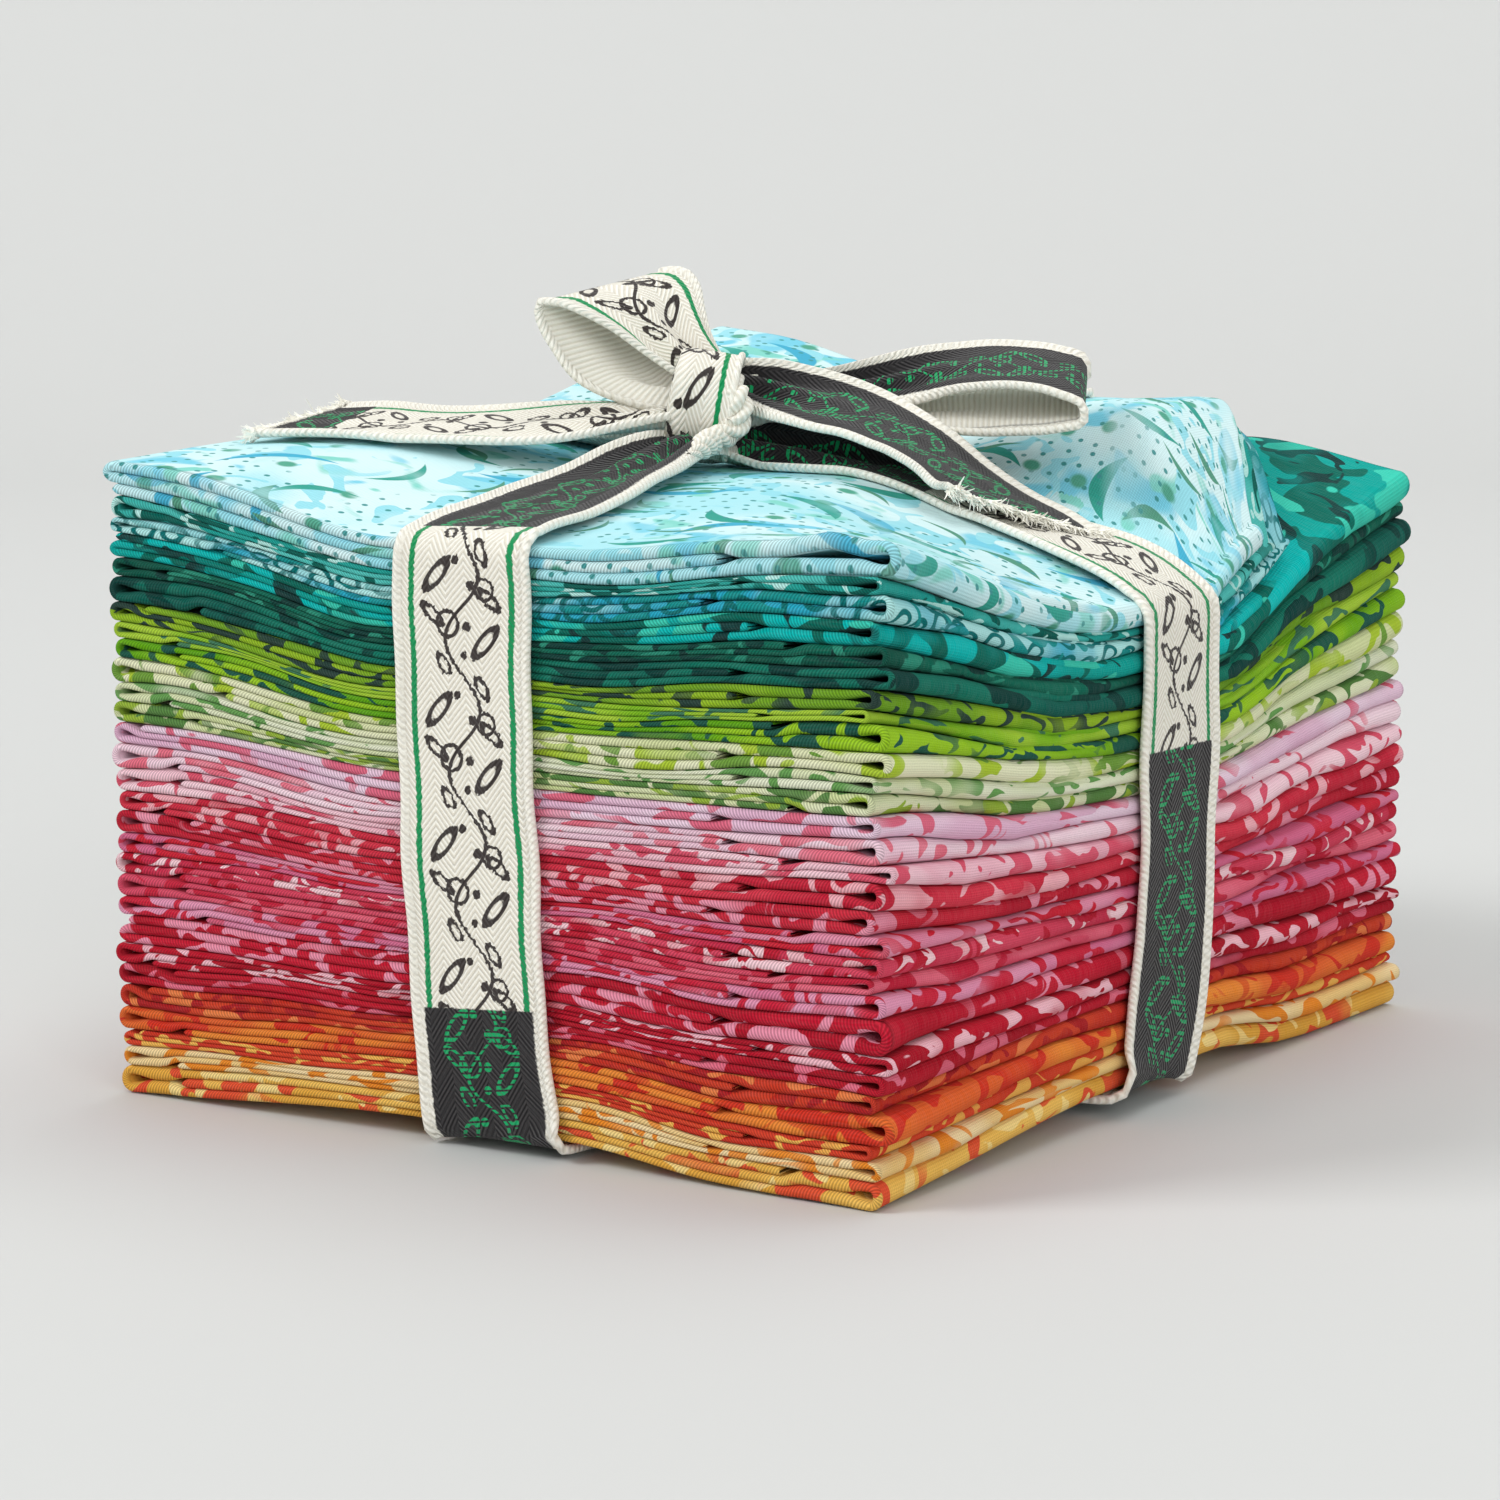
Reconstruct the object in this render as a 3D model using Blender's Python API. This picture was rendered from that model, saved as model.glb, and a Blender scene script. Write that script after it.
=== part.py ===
"""Fat quarter bundle: 29 folded cotton cloths in one stack, tied both ways with one woven ribbon.

Sizes are in millimetres and become metres as each mesh is made. The origin lies on the surface
under the middle of the stack. X runs along the short side, Y along the long side and Z is up.
The near corner is the one at +X and -Y.
"""

import random
from collections import namedtuple
from math import cos, pi, sin

import bmesh
import bpy
from mathutils import Vector

MM = 0.001
SEED = 29

# The stack: a fat quarter is 18 by 22 inches, folded in three both ways
STACK_X = 149.2
STACK_Y = 181.0
SIDE_X = STACK_X / 2
SIDE_Y = STACK_Y / 2
RIBBON_WIDTH = 26.0
RIBBON_THICK = 1.0
PIECE_GAP = 0.3

# Lines on which every cloth has its points. Cloths that share them nest without touching.
TURN_X = SIDE_X - 3.0
FREE_END_X = -60.0
TUCKED_END_X = 45.0
CHANNEL_X = (-17.0, 17.0)
CHANNEL_Y = (-19.0, 15.0)
BULGE_Y = 52.0
X_LINES = (-TURN_X, FREE_END_X, *CHANNEL_X, TUCKED_END_X, TURN_X)
Y_LINES = (-SIDE_Y, *CHANNEL_Y, BULGE_Y, SIDE_Y)
PAD_Y = -52.0

# Heights of three surfaces in the stack, a row for each place along Y and a column along X.
# The ribbon pulls the stack in along both channels, and the corners stay high.
Row = namedtuple("Row", "left quarter channel tucked right")
TOP_OF_STACK = {
    "front": Row(105.7, 104.3, 96.0, 98.4, 100.4),
    "channel": Row(107.3, 107.0, 102.0, 94.3, 83.5),
    "bulge": Row(113.5, 112.5, 107.5, 111.0, 88.5),
    "back": Row(120.8, 119.0, 109.5, 111.0, 92.0),
}
TOP_OF_FOURTH = {
    "front": Row(93.7, 92.6, 85.2, 87.2, 89.1),
    "channel": Row(95.5, 95.2, 90.5, 84.0, 75.0),
    "bulge": Row(101.0, 100.0, 95.0, 98.5, 88.0),
    "back": Row(107.0, 105.4, 98.0, 103.5, 98.7),
}
UNDERSIDE = {
    "front": Row(0.0, 0.8, 3.3, 0.6, 0.0),
    "channel": Row(4.0, 3.9, 3.6, 4.0, 4.7),
    "bulge": Row(0.6, 1.0, 3.4, 0.8, 0.6),
    "back": Row(0.0, 0.8, 3.3, 0.6, 0.0),
}
# How much the upper cloths spread apart at the far right corner
SPREAD = {
    "front": Row(0, 0, 0, 0, 0),
    "channel": Row(0, 0, 0, 0, 0),
    "bulge": Row(0, 0, 0, 0.04, 0.08),
    "back": Row(0, 0, 0, 0.08, 0.16),
}

# The cloths from top to bottom. Thickness is read at the near corner, and flipped cloths have
# their free strip at the bottom. Far ends are where the ribbon draws in the top cloths' far
# right corner: along Y, at the tucked end's line and at the right side.
Cloth = namedtuple("Cloth", "colour thickness flipped far_tucked far_right")
CLOTHS = (
    Cloth("pale aqua", 5.6, True, 74.0, 31.0),
    Cloth("teal", 2.4, False, 76.0, 37.0),
    Cloth("ringed aqua", 3.4, True, 78.0, 43.0),
    Cloth("mint", 4.2, False, SIDE_Y, SIDE_Y),
    Cloth("dark green", 2.6, False, SIDE_Y, SIDE_Y),
    Cloth("dark green", 3.8, True, SIDE_Y, SIDE_Y),
    Cloth("deep lime", 3.3, False, SIDE_Y, SIDE_Y),
    Cloth("bright lime", 2.6, True, SIDE_Y, SIDE_Y),
    Cloth("deep lime", 3.1, False, SIDE_Y, SIDE_Y),
    Cloth("cream green", 4.1, False, SIDE_Y, SIDE_Y),
    Cloth("cream green", 3.0, True, SIDE_Y, SIDE_Y),
    Cloth("cream green", 3.0, True, SIDE_Y, SIDE_Y),
    Cloth("lavender pink", 3.7, False, SIDE_Y, SIDE_Y),
    Cloth("pale pink", 3.5, False, SIDE_Y, SIDE_Y),
    Cloth("pale pink", 3.7, True, SIDE_Y, SIDE_Y),
    Cloth("rose", 3.8, False, SIDE_Y, SIDE_Y),
    Cloth("rose", 3.6, False, SIDE_Y, SIDE_Y),
    Cloth("lavender pink", 2.8, True, SIDE_Y, SIDE_Y),
    Cloth("rose", 3.6, True, SIDE_Y, SIDE_Y),
    Cloth("rose", 3.2, False, SIDE_Y, SIDE_Y),
    Cloth("lavender pink", 3.4, True, SIDE_Y, SIDE_Y),
    Cloth("crimson", 4.8, False, SIDE_Y, SIDE_Y),
    Cloth("crimson", 3.0, True, SIDE_Y, SIDE_Y),
    Cloth("crimson", 3.3, False, SIDE_Y, SIDE_Y),
    Cloth("orange red", 3.4, False, SIDE_Y, SIDE_Y),
    Cloth("yellow orange", 4.2, True, SIDE_Y, SIDE_Y),
    Cloth("orange red", 2.6, False, SIDE_Y, SIDE_Y),
    Cloth("yellow orange", 3.2, False, SIDE_Y, SIDE_Y),
    Cloth("gold", 4.5, False, SIDE_Y, SIDE_Y),
)
LOOSE_CLOTHS = 3

COLOURS = {
    "pale aqua": (0.50, 0.80, 0.82),
    "teal": (0.04, 0.36, 0.36),
    "ringed aqua": (0.18, 0.55, 0.60),
    "mint": (0.03, 0.42, 0.40),
    "dark green": (0.02, 0.14, 0.11),
    "deep lime": (0.26, 0.50, 0.04),
    "bright lime": (0.42, 0.66, 0.06),
    "cream green": (0.62, 0.70, 0.40),
    "lavender pink": (0.66, 0.38, 0.54),
    "pale pink": (0.80, 0.46, 0.52),
    "rose": (0.62, 0.10, 0.20),
    "crimson": (0.50, 0.02, 0.08),
    "orange red": (0.72, 0.13, 0.04),
    "yellow orange": (0.80, 0.42, 0.12),
    "gold": (0.72, 0.44, 0.10),
    "cream ribbon": (0.80, 0.78, 0.72),
}

# Each cloth's fold: three strips, called tucked, full and free, with their share of its height
STRIP_SHARE = 0.27
STRIP_THICK = 0.9
TURN_OUTER_HALF = 0.31
TURN_INNER_HALF = 0.28
FREE_END_NEAREST = 62.0
FREE_END_FURTHEST = 69.0
UNEVEN_CORNER = 1.1
UNEVEN_AT_RIBBON = 1.2
TOP_CLOTH_ROUNDING = {"full": 6.0, "tucked": 3.0, "free": 0.5}
SPREAD_CLEARANCE = 3.0
LOOSE_FILL = 0.65
UNDER_FACETS = 0.8


def line_values(table):
    """A table's heights on the lines, as [x line][y line]. Both edges of a channel share one height."""
    rows = [table["front"], table["channel"], table["channel"], table["bulge"], table["back"]]
    columns = ("left", "quarter", "channel", "channel", "tucked", "right")
    return [[getattr(row, column) for row in rows] for column in columns]


TOP = line_values(TOP_OF_STACK)
FOURTH = line_values(TOP_OF_FOURTH)
UNDER = line_values(UNDERSIDE)
FAN = line_values(SPREAD)


def cell(lines, value):
    """The index of the cell that holds a value, and how far along it the value lies, from 0 to 1."""
    last = len(lines) - 2
    index = next((i for i in range(last) if value < lines[i + 1]), last)
    share = (value - lines[index]) / (lines[index + 1] - lines[index])
    return index, min(max(share, 0.0), 1.0)


def sample(heights, x, y):
    """The height of the facets between the lines, each cell split from its low corner to its high one."""
    i, s = cell(X_LINES, x)
    j, t = cell(Y_LINES, y)
    low, high = heights[i][j], heights[i + 1][j + 1]
    if s >= t:
        side = heights[i + 1][j]
        return low + s * (side - low) + t * (high - side)
    side = heights[i][j + 1]
    return low + t * (side - low) + s * (high - side)


def lower_share(number):
    """The share of the lower cloths' height that lies under this cloth's top, from 0 to 1."""
    under = sum(c.thickness for c in CLOTHS[number - 1 :])
    return under / sum(c.thickness for c in CLOTHS[LOOSE_CLOTHS:])


def loose_share(number):
    """The same for the three loose cloths on top of them."""
    under = sum(c.thickness for c in CLOTHS[number - 1 : LOOSE_CLOTHS])
    return under / sum(c.thickness for c in CLOTHS[:LOOSE_CLOTHS])


def lower_height(share, x, y):
    """The height of the surface between two of the lower cloths."""
    under = sample(UNDER, x, y)
    spread = sample(FAN, x, y)
    bent = share + spread * (share**3 - share)
    return under + (sample(FOURTH, x, y) - under) * bent


def loose_height(share, x, y, line_x, line_y):
    """The same between two loose cloths, whose points are drawn in at the far right corner."""
    drawn_in = abs(y - line_y) > PIECE_GAP and line_y > CHANNEL_Y[1]
    under = sample(FOURTH, x, y) + (SPREAD_CLEARANCE if drawn_in else 0.0)
    return under + (sample(TOP, line_x, line_y) - under) * share


def drawn_in_y(cloth, x, line_y):
    """Where a line along X crosses this cloth, which the ribbon may draw in at its far right corner."""
    if line_y <= CHANNEL_Y[1] or x <= CHANNEL_X[1]:
        return line_y
    if x <= TUCKED_END_X:
        far = cloth.far_tucked
    else:
        far = cloth.far_right
    share = (line_y - CHANNEL_Y[1]) / (SIDE_Y - CHANNEL_Y[1])
    return CHANNEL_Y[1] + share * (far - CHANNEL_Y[1])


# A point of the fold: its place along X, its level from 0 to 1 in the cloth's own height, the
# line it belongs to and the strip it is on
Point = namedtuple("Point", "x level line strip")


def fold_section(sides, free_end, flipped):
    """The back-and-forth section as (outer, inner) points, from the tucked end to the free end.

    The tucked strip starts in the middle and turns at the left into the full one at the bottom,
    which turns at the right into the free one on top. The sides are the places of those turns.
    """
    mid_low, mid_high = (1 - STRIP_SHARE) / 2, (1 + STRIP_SHARE) / 2
    left, right = sides
    path = []

    def strip(xs, outer, inner, name):
        for x in xs:
            path.append((Point(x, outer, x, name), Point(x, inner, x, name)))

    def turn(edge, inward, outer_low, outer_high, inner_low, inner_high, upward):
        outer_mid, inner_mid = (outer_low + outer_high) / 2, (inner_low + inner_high) / 2
        outer_step = TURN_OUTER_HALF * (outer_high - outer_low)
        inner_step = TURN_INNER_HALF * (inner_high - inner_low)
        line = TURN_X if edge > 0 else -TURN_X
        for sign in (-1, 1) if upward else (1, -1):
            outer = Point(edge, outer_mid + sign * outer_step, line, "turn")
            inner = Point(edge + inward * STRIP_THICK, inner_mid + sign * inner_step, line, "turn")
            path.append((outer, inner))

    strip((TUCKED_END_X, *reversed(CHANNEL_X), FREE_END_X, -TURN_X), mid_high, mid_low, "tucked")
    turn(left, 1, 0.0, mid_high, STRIP_SHARE, mid_low, upward=False)
    strip(X_LINES, 0.0, STRIP_SHARE, "full")
    turn(right, -1, 0.0, 1.0, STRIP_SHARE, 1 - STRIP_SHARE, upward=True)
    ends = (TURN_X, TUCKED_END_X, *reversed(CHANNEL_X), FREE_END_X, free_end)
    strip(ends, 1.0, 1 - STRIP_SHARE, "free")
    if not flipped:
        return path
    return [tuple(p._replace(level=1 - p.level) for p in pair) for pair in path]


def uneven(rng, y):
    """How far an edge stands out past the stack's side: less where the ribbon holds it in."""
    if y in CHANNEL_Y:
        return -UNEVEN_AT_RIBBON * rng.random()
    return UNEVEN_CORNER * rng.uniform(-1, 1)


def cloth_rows(number):
    """The Y lines that this cloth has points on. The lowest one has one more for its flat pads."""
    if number == len(CLOTHS):
        return (Y_LINES[0], PAD_Y, *Y_LINES[1:])
    return Y_LINES


def is_pad(number, point, line_y):
    """True on the underside's four corners, which lie flat on the surface."""
    on_strip = number == len(CLOTHS) and point.strip in ("full", "turn")
    off_x = point.line <= FREE_END_X or point.line >= TUCKED_END_X
    off_y = line_y <= PAD_Y or line_y >= BULGE_Y
    return on_strip and off_x and off_y and point.level <= STRIP_SHARE


def make_cloth(number):
    """One folded cloth as a closed solid."""
    cloth = CLOTHS[number - 1]
    rng = random.Random(SEED * 100 + number)
    free_end = -rng.uniform(FREE_END_NEAREST, FREE_END_FURTHEST)
    rows = cloth_rows(number)
    sides = [(-SIDE_X - uneven(rng, y), SIDE_X + uneven(rng, y)) for y in rows]
    front = {x: uneven(rng, CHANNEL_Y[0] if x in CHANNEL_X else 0.0) for x in (*X_LINES, free_end)}
    back = {x: uneven(rng, CHANNEL_Y[0] if x in CHANNEL_X else 0.0) for x in (*X_LINES, free_end)}
    loose = number <= LOOSE_CLOTHS
    share_of = loose_share if loose else lower_share
    shares = (share_of(number + 1), share_of(number))

    def place(point, line_y):
        y = drawn_in_y(cloth, point.line, line_y)
        if loose:
            low, high = (loose_height(s, point.line, y, point.line, line_y) for s in shares)
            if line_y - y > PIECE_GAP:
                high = low + LOOSE_FILL * (high - low)
        else:
            low, high = (lower_height(s, point.line, y) for s in shares)
        if line_y == PAD_Y:
            high -= UNDER_FACETS
        low, high = low + PIECE_GAP / 2, high - PIECE_GAP / 2
        z = low + point.level * (high - low)
        if is_pad(number, point, line_y):
            z = point.level * STRIP_THICK / STRIP_SHARE
        rounding = TOP_CLOTH_ROUNDING.get(point.strip, 0.0) if number == 1 else 0.0
        if point.line not in CHANNEL_X:
            rounding = 0.0
        if line_y == -SIDE_Y:
            y = y - front[point.line] + rounding
        if line_y == SIDE_Y:
            y = y + back[point.line] - rounding
        return Vector((point.x, y, z))

    sections = [fold_section(side, free_end, cloth.flipped) for side in sides]
    grid = []
    for i in range(len(sections[0])):
        pairs = [
            (place(section[i][0], y), place(section[i][1], y))
            for section, y in zip(sections, rows, strict=True)
        ]
        grid.append(pairs)
    return solid_from_grid(f"fat_quarter_{number:02d}", grid, cloth.colour)


def solid_from_grid(name, grid, colour):
    """A closed solid from [along the fold][along Y] pairs of outer and inner points."""
    bm = bmesh.new()
    corners = [[[bm.verts.new(p * MM) for p in pair] for pair in row] for row in grid]
    steps, rows = len(grid), len(grid[0])

    def split(a, b, c, d, a_to_c):
        triangles = ((a, b, c), (a, c, d)) if a_to_c else ((b, c, d), (b, d, a))
        for triangle in triangles:
            bm.faces.new(triangle)

    for side in (0, 1):
        for i in range(steps - 1):
            forward = grid[i + 1][0][0].x >= grid[i][0][0].x
            for j in range(rows - 1):
                split(
                    corners[i][j][side],
                    corners[i + 1][j][side],
                    corners[i + 1][j + 1][side],
                    corners[i][j + 1][side],
                    forward,
                )
    for j in (0, rows - 1):
        for i in range(steps - 1):
            a, b = corners[i][j]
            d, c = corners[i + 1][j]
            split(a, b, c, d, True)
    for i in (0, steps - 1):
        for j in range(rows - 1):
            a, b = corners[i][j]
            d, c = corners[i][j + 1]
            split(a, b, c, d, True)
    return finish(bm, name, colour)


def finish(bm, name, colour):
    """Turns a bmesh into an object with its own material."""
    bmesh.ops.recalc_face_normals(bm, faces=bm.faces)
    mesh = bpy.data.meshes.new(name)
    bm.to_mesh(mesh)
    bm.free()
    mesh.materials.append(cotton(name, COLOURS[colour]))
    thing = bpy.data.objects.new(name, mesh)
    bpy.context.scene.collection.objects.link(thing)
    return thing


def cotton(name, colour):
    """Matt woven cotton."""
    material = bpy.data.materials.new(name)
    material.use_nodes = True
    shader = material.node_tree.nodes["Principled BSDF"]
    shader.inputs["Base Color"].default_value = (*colour, 1.0)
    shader.inputs["Roughness"].default_value = 0.9
    shader.inputs["Metallic"].default_value = 0.0
    return material


# The ribbon. A stop is one place along it: the middle of its width, the direction across and
# half the width there.
Stop = namedtuple("Stop", "x y z across half")
FACE_X = SIDE_X + 0.4
FACE_Y = SIDE_Y + 0.4
FULL = RIBBON_WIDTH / 2
BUNCHED = 7.0
TIED = 5.0
SHARPEST_BEND = 0.5
ALONG_X = (1.0, 0.0, 0.0)
ALONG_Y = (0.0, 1.0, 0.0)

# The band along X, from under the middle to the right, over the top and back
BAND_X = (
    Stop(0, -3.0, 3.2, ALONG_Y, FULL),
    Stop(45, -5.0, 3.6, ALONG_Y, FULL),
    Stop(72.6, -6.6, 4.2, ALONG_Y, FULL),
    Stop(FACE_X - 0.4, -6.2, 5.2, ALONG_Y, FULL),
    Stop(FACE_X, -5.5, 7.2, ALONG_Y, FULL),
    Stop(FACE_X, -2.0, 20.0, ALONG_Y, FULL),
    Stop(FACE_X, 0.4, 48.0, ALONG_Y, FULL),
    Stop(FACE_X, 0.6, 79.5, ALONG_Y, FULL),
    Stop(FACE_X - 0.5, 0.6, 82.6, ALONG_Y, FULL),
    Stop(72.6, 0.5, 84.3, ALONG_Y, FULL),
    Stop(45, -0.5, 94.8, ALONG_Y, 11.5),
    Stop(17, -5.0, 102.5, ALONG_Y, BUNCHED),
    Stop(-17, -5.0, 102.5, ALONG_Y, BUNCHED),
    Stop(-60, 0.0, 107.8, ALONG_Y, FULL),
    Stop(-72.4, 0.0, 108.2, ALONG_Y, FULL),
    Stop(-FACE_X + 0.4, 0.0, 107.0, ALONG_Y, FULL),
    Stop(-FACE_X, 0.0, 103.6, ALONG_Y, FULL),
    Stop(-FACE_X, 0.0, 7.0, ALONG_Y, FULL),
    Stop(-FACE_X + 0.4, 0.0, 4.6, ALONG_Y, FULL),
    Stop(-72.6, 0.0, 3.5, ALONG_Y, FULL),
    Stop(-45, -1.0, 3.4, ALONG_Y, FULL),
)
# The band along Y, from under the middle to the front, over the top and back. It passes
# under the other one.
BAND_Y = (
    Stop(2.0, 15, 1.9, ALONG_X, FULL),
    Stop(2.6, -23, 1.9, ALONG_X, FULL),
    Stop(3.4, -88.9, 2.5, ALONG_X, FULL),
    Stop(3.2, -FACE_Y + 0.3, 3.1, ALONG_X, FULL),
    Stop(2.8, -FACE_Y, 5.2, ALONG_X, FULL),
    Stop(-0.8, -FACE_Y, 46.0, ALONG_X, FULL),
    Stop(-2.0, -FACE_Y, 90.0, ALONG_X, FULL),
    Stop(-2.0, -FACE_Y + 0.9, 93.8, ALONG_X, FULL),
    Stop(-2.0, -FACE_Y + 3.4, 96.3, ALONG_X, FULL),
    Stop(-2.3, -FACE_Y + 7.0, 97.2, ALONG_X, FULL),
    Stop(-4.0, -45.0, 100.4, ALONG_X, 11.5),
    Stop(-6.0, -19.0, 102.6, ALONG_X, BUNCHED),
    Stop(-6.0, 15.0, 102.6, ALONG_X, BUNCHED),
    Stop(-3.0, 52.0, 108.1, ALONG_X, FULL),
    Stop(-2.0, FACE_Y - 7.0, 110.0, ALONG_X, FULL),
    Stop(-2.0, FACE_Y - 3.4, 109.2, ALONG_X, FULL),
    Stop(-2.0, FACE_Y - 0.9, 106.8, ALONG_X, FULL),
    Stop(-2.0, FACE_Y, 103.0, ALONG_X, FULL),
    Stop(1.0, FACE_Y, 5.8, ALONG_X, FULL),
    Stop(1.0, FACE_Y - 0.4, 3.8, ALONG_X, FULL),
    Stop(1.0, 88.9, 2.8, ALONG_X, FULL),
    Stop(1.6, 52, 2.5, ALONG_X, FULL),
)

# The bow: a knot, two loops and two free ends
KNOT_MIDDLE = Vector((-8.0, -9.5, 111.2))
KNOT_RADII = (6.0, 6.0, 8.4)
KNOT_SIDES = 12
KNOT_RINGS = 8
WRAP_ACROSS = Vector((0.86, 0.5, 0.1)).normalized()
WRAP_HALF = 5.4
WRAP_LEVEL_RADIUS = 5.6
WRAP_UPRIGHT_RADIUS = 6.4
WRAP_RISE = 1.4
LEFT_ACROSS = (0.24, 0.94, 0.23)
LEFT_LOOP = (
    Stop(-9, -10, 115.0, LEFT_ACROSS, TIED),
    Stop(-13.4, -13.0, 120.6, LEFT_ACROSS, 8.5),
    Stop(-16.8, -15.5, 126.4, LEFT_ACROSS, 12.0),
    Stop(-20.6, -17.8, 131.0, LEFT_ACROSS, FULL),
    Stop(-24.6, -19.8, 133.2, LEFT_ACROSS, FULL),
    Stop(-27.2, -20.8, 132.2, LEFT_ACROSS, FULL),
    Stop(-27.9, -21.0, 128.6, LEFT_ACROSS, FULL),
    Stop(-26.4, -20.2, 122.6, LEFT_ACROSS, FULL),
    Stop(-23.4, -18.6, 118.0, LEFT_ACROSS, 12.0),
    Stop(-17.0, -15.0, 114.6, LEFT_ACROSS, 8.5),
    Stop(-9.5, -11.0, 112.0, LEFT_ACROSS, TIED),
)
RIGHT_ACROSS = (-0.33, 0.93, 0.15)
RIGHT_LOOP = (
    Stop(-7, -9, 114.0, RIGHT_ACROSS, TIED),
    Stop(3.0, -2.0, 117.0, RIGHT_ACROSS, 8.0),
    Stop(15.0, 5.0, 118.8, RIGHT_ACROSS, 12.0),
    Stop(29.5, 14.0, 118.9, RIGHT_ACROSS, FULL),
    Stop(40.0, 20.6, 117.6, RIGHT_ACROSS, FULL),
    Stop(45.4, 24.0, 115.4, RIGHT_ACROSS, FULL),
    Stop(46.2, 24.6, 113.4, RIGHT_ACROSS, FULL),
    Stop(43.4, 22.8, 111.6, RIGHT_ACROSS, FULL),
    Stop(33.0, 16.4, 110.9, RIGHT_ACROSS, FULL),
    Stop(19.0, 8.0, 111.4, RIGHT_ACROSS, 12.0),
    Stop(5.0, -1.0, 111.6, RIGHT_ACROSS, 8.0),
    Stop(-7, -9, 111.0, RIGHT_ACROSS, TIED),
)
LEFT_TAIL = (
    Stop(-8, -10, 110.5, (-0.4, 0.9, 0.1), TIED),
    Stop(-21, -20, 109.8, (-0.45, 0.88, 0.12), 8.5),
    Stop(-34, -29, 108.9, (-0.5, 0.86, 0.1), 12.0),
    Stop(-48, -36.5, 108.6, (-0.5, 0.86, 0.06), FULL),
    Stop(-58, -42, 108.8, (-0.5, 0.86, 0.06), FULL),
    Stop(-68, -47.5, 108.6, (-0.5, 0.86, 0.06), FULL),
)
FRONT_TAIL = (
    Stop(-7, -9, 114.0, (0.0, 0.9, 0.4), TIED),
    Stop(8, -5, 113.6, (0.0, 0.93, 0.36), 8.5),
    Stop(20, -3, 110.6, (0.0, 0.95, 0.3), 11.5),
    Stop(32, -2.6, 105.8, (0.0, 0.97, 0.24), FULL),
    Stop(44, -2.7, 100.4, (0.0, 0.99, 0.12), FULL),
    Stop(56, -2.8, 95.4, (0.0, 1.0, 0.02), FULL),
)


def strap(name, stops, closed=False):
    """A flat strip of ribbon through its stops. A closed one has its stops on its inner face."""
    count = len(stops)
    places = [Vector(stop[:3]) for stop in stops]
    bm = bmesh.new()
    rings = []
    for i, stop in enumerate(stops):
        before = places[i - 1] if closed or i else places[i]
        after = places[(i + 1) % count] if closed or i < count - 1 else places[i]
        across = Vector(stop.across).normalized()
        ways = [across.cross(w).normalized() for w in (places[i] - before, after - places[i]) if w.length]
        outward = sum(ways, Vector()).normalized()
        mitre = RIBBON_THICK / max(outward.dot(ways[0]), SHARPEST_BEND)
        inner = places[i] if closed else places[i] - outward * mitre / 2
        ring = [
            inner - across * stop.half,
            inner + across * stop.half,
            inner + across * stop.half + outward * mitre,
            inner - across * stop.half + outward * mitre,
        ]
        rings.append([bm.verts.new(p * MM) for p in ring])
    for i in range(count if closed else count - 1):
        here, there = rings[i], rings[(i + 1) % count]
        for k in range(4):
            bm.faces.new((here[k], here[(k + 1) % 4], there[(k + 1) % 4], there[k]))
    if not closed:
        bm.faces.new(rings[0])
        bm.faces.new(rings[-1])
    bmesh.ops.triangulate(bm, faces=bm.faces)
    return finish(bm, name, "cream ribbon")


def knot():
    """The wrapped knot as one rounded lump."""
    bm = bmesh.new()
    bmesh.ops.create_uvsphere(bm, u_segments=KNOT_SIDES, v_segments=KNOT_RINGS, radius=1.0)
    for vert in bm.verts:
        vert.co = Vector(m + r * c for m, r, c in zip(KNOT_MIDDLE, KNOT_RADII, vert.co, strict=True)) * MM
    bmesh.ops.triangulate(bm, faces=bm.faces)
    return finish(bm, "knot_guide", "cream ribbon")


def wrap_stops():
    """The turn of ribbon round the knot, as an upright oval whose axis points along the bow."""
    level = Vector((0, 0, 1)).cross(WRAP_ACROSS).normalized()
    upright = WRAP_ACROSS.cross(level)
    middle = KNOT_MIDDLE + WRAP_RISE * upright
    stops = []
    for k in range(KNOT_SIDES):
        angle = 2 * pi * k / KNOT_SIDES
        side = level * WRAP_LEVEL_RADIUS * sin(angle)
        place = middle + side - upright * WRAP_UPRIGHT_RADIUS * cos(angle)
        stops.append(Stop(*place, WRAP_ACROSS, WRAP_HALF))
    return stops


def make_ribbon():
    """The whole tie as one solid: two bands round the stack, the knot, its loops and free ends."""
    ribbon = strap("ribbon", BAND_X, closed=True)
    pieces = [
        strap("band_guide", BAND_Y, closed=True),
        knot(),
        strap("wrap_guide", wrap_stops(), closed=True),
        strap("left_loop_guide", LEFT_LOOP),
        strap("right_loop_guide", RIGHT_LOOP),
        strap("left_tail_guide", LEFT_TAIL),
        strap("front_tail_guide", FRONT_TAIL),
    ]
    for piece in pieces:
        piece.hide_render = True
        piece.display_type = "WIRE"
        union = ribbon.modifiers.new(piece.name, "BOOLEAN")
        union.operation = "UNION"
        union.solver = "EXACT"
        union.object = piece
    return ribbon


for old in list(bpy.data.objects):
    bpy.data.objects.remove(old)
for cloth_number in range(1, len(CLOTHS) + 1):
    make_cloth(cloth_number)
make_ribbon()
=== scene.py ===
from collections import namedtuple
from math import cos, pi, radians, sin

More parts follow.
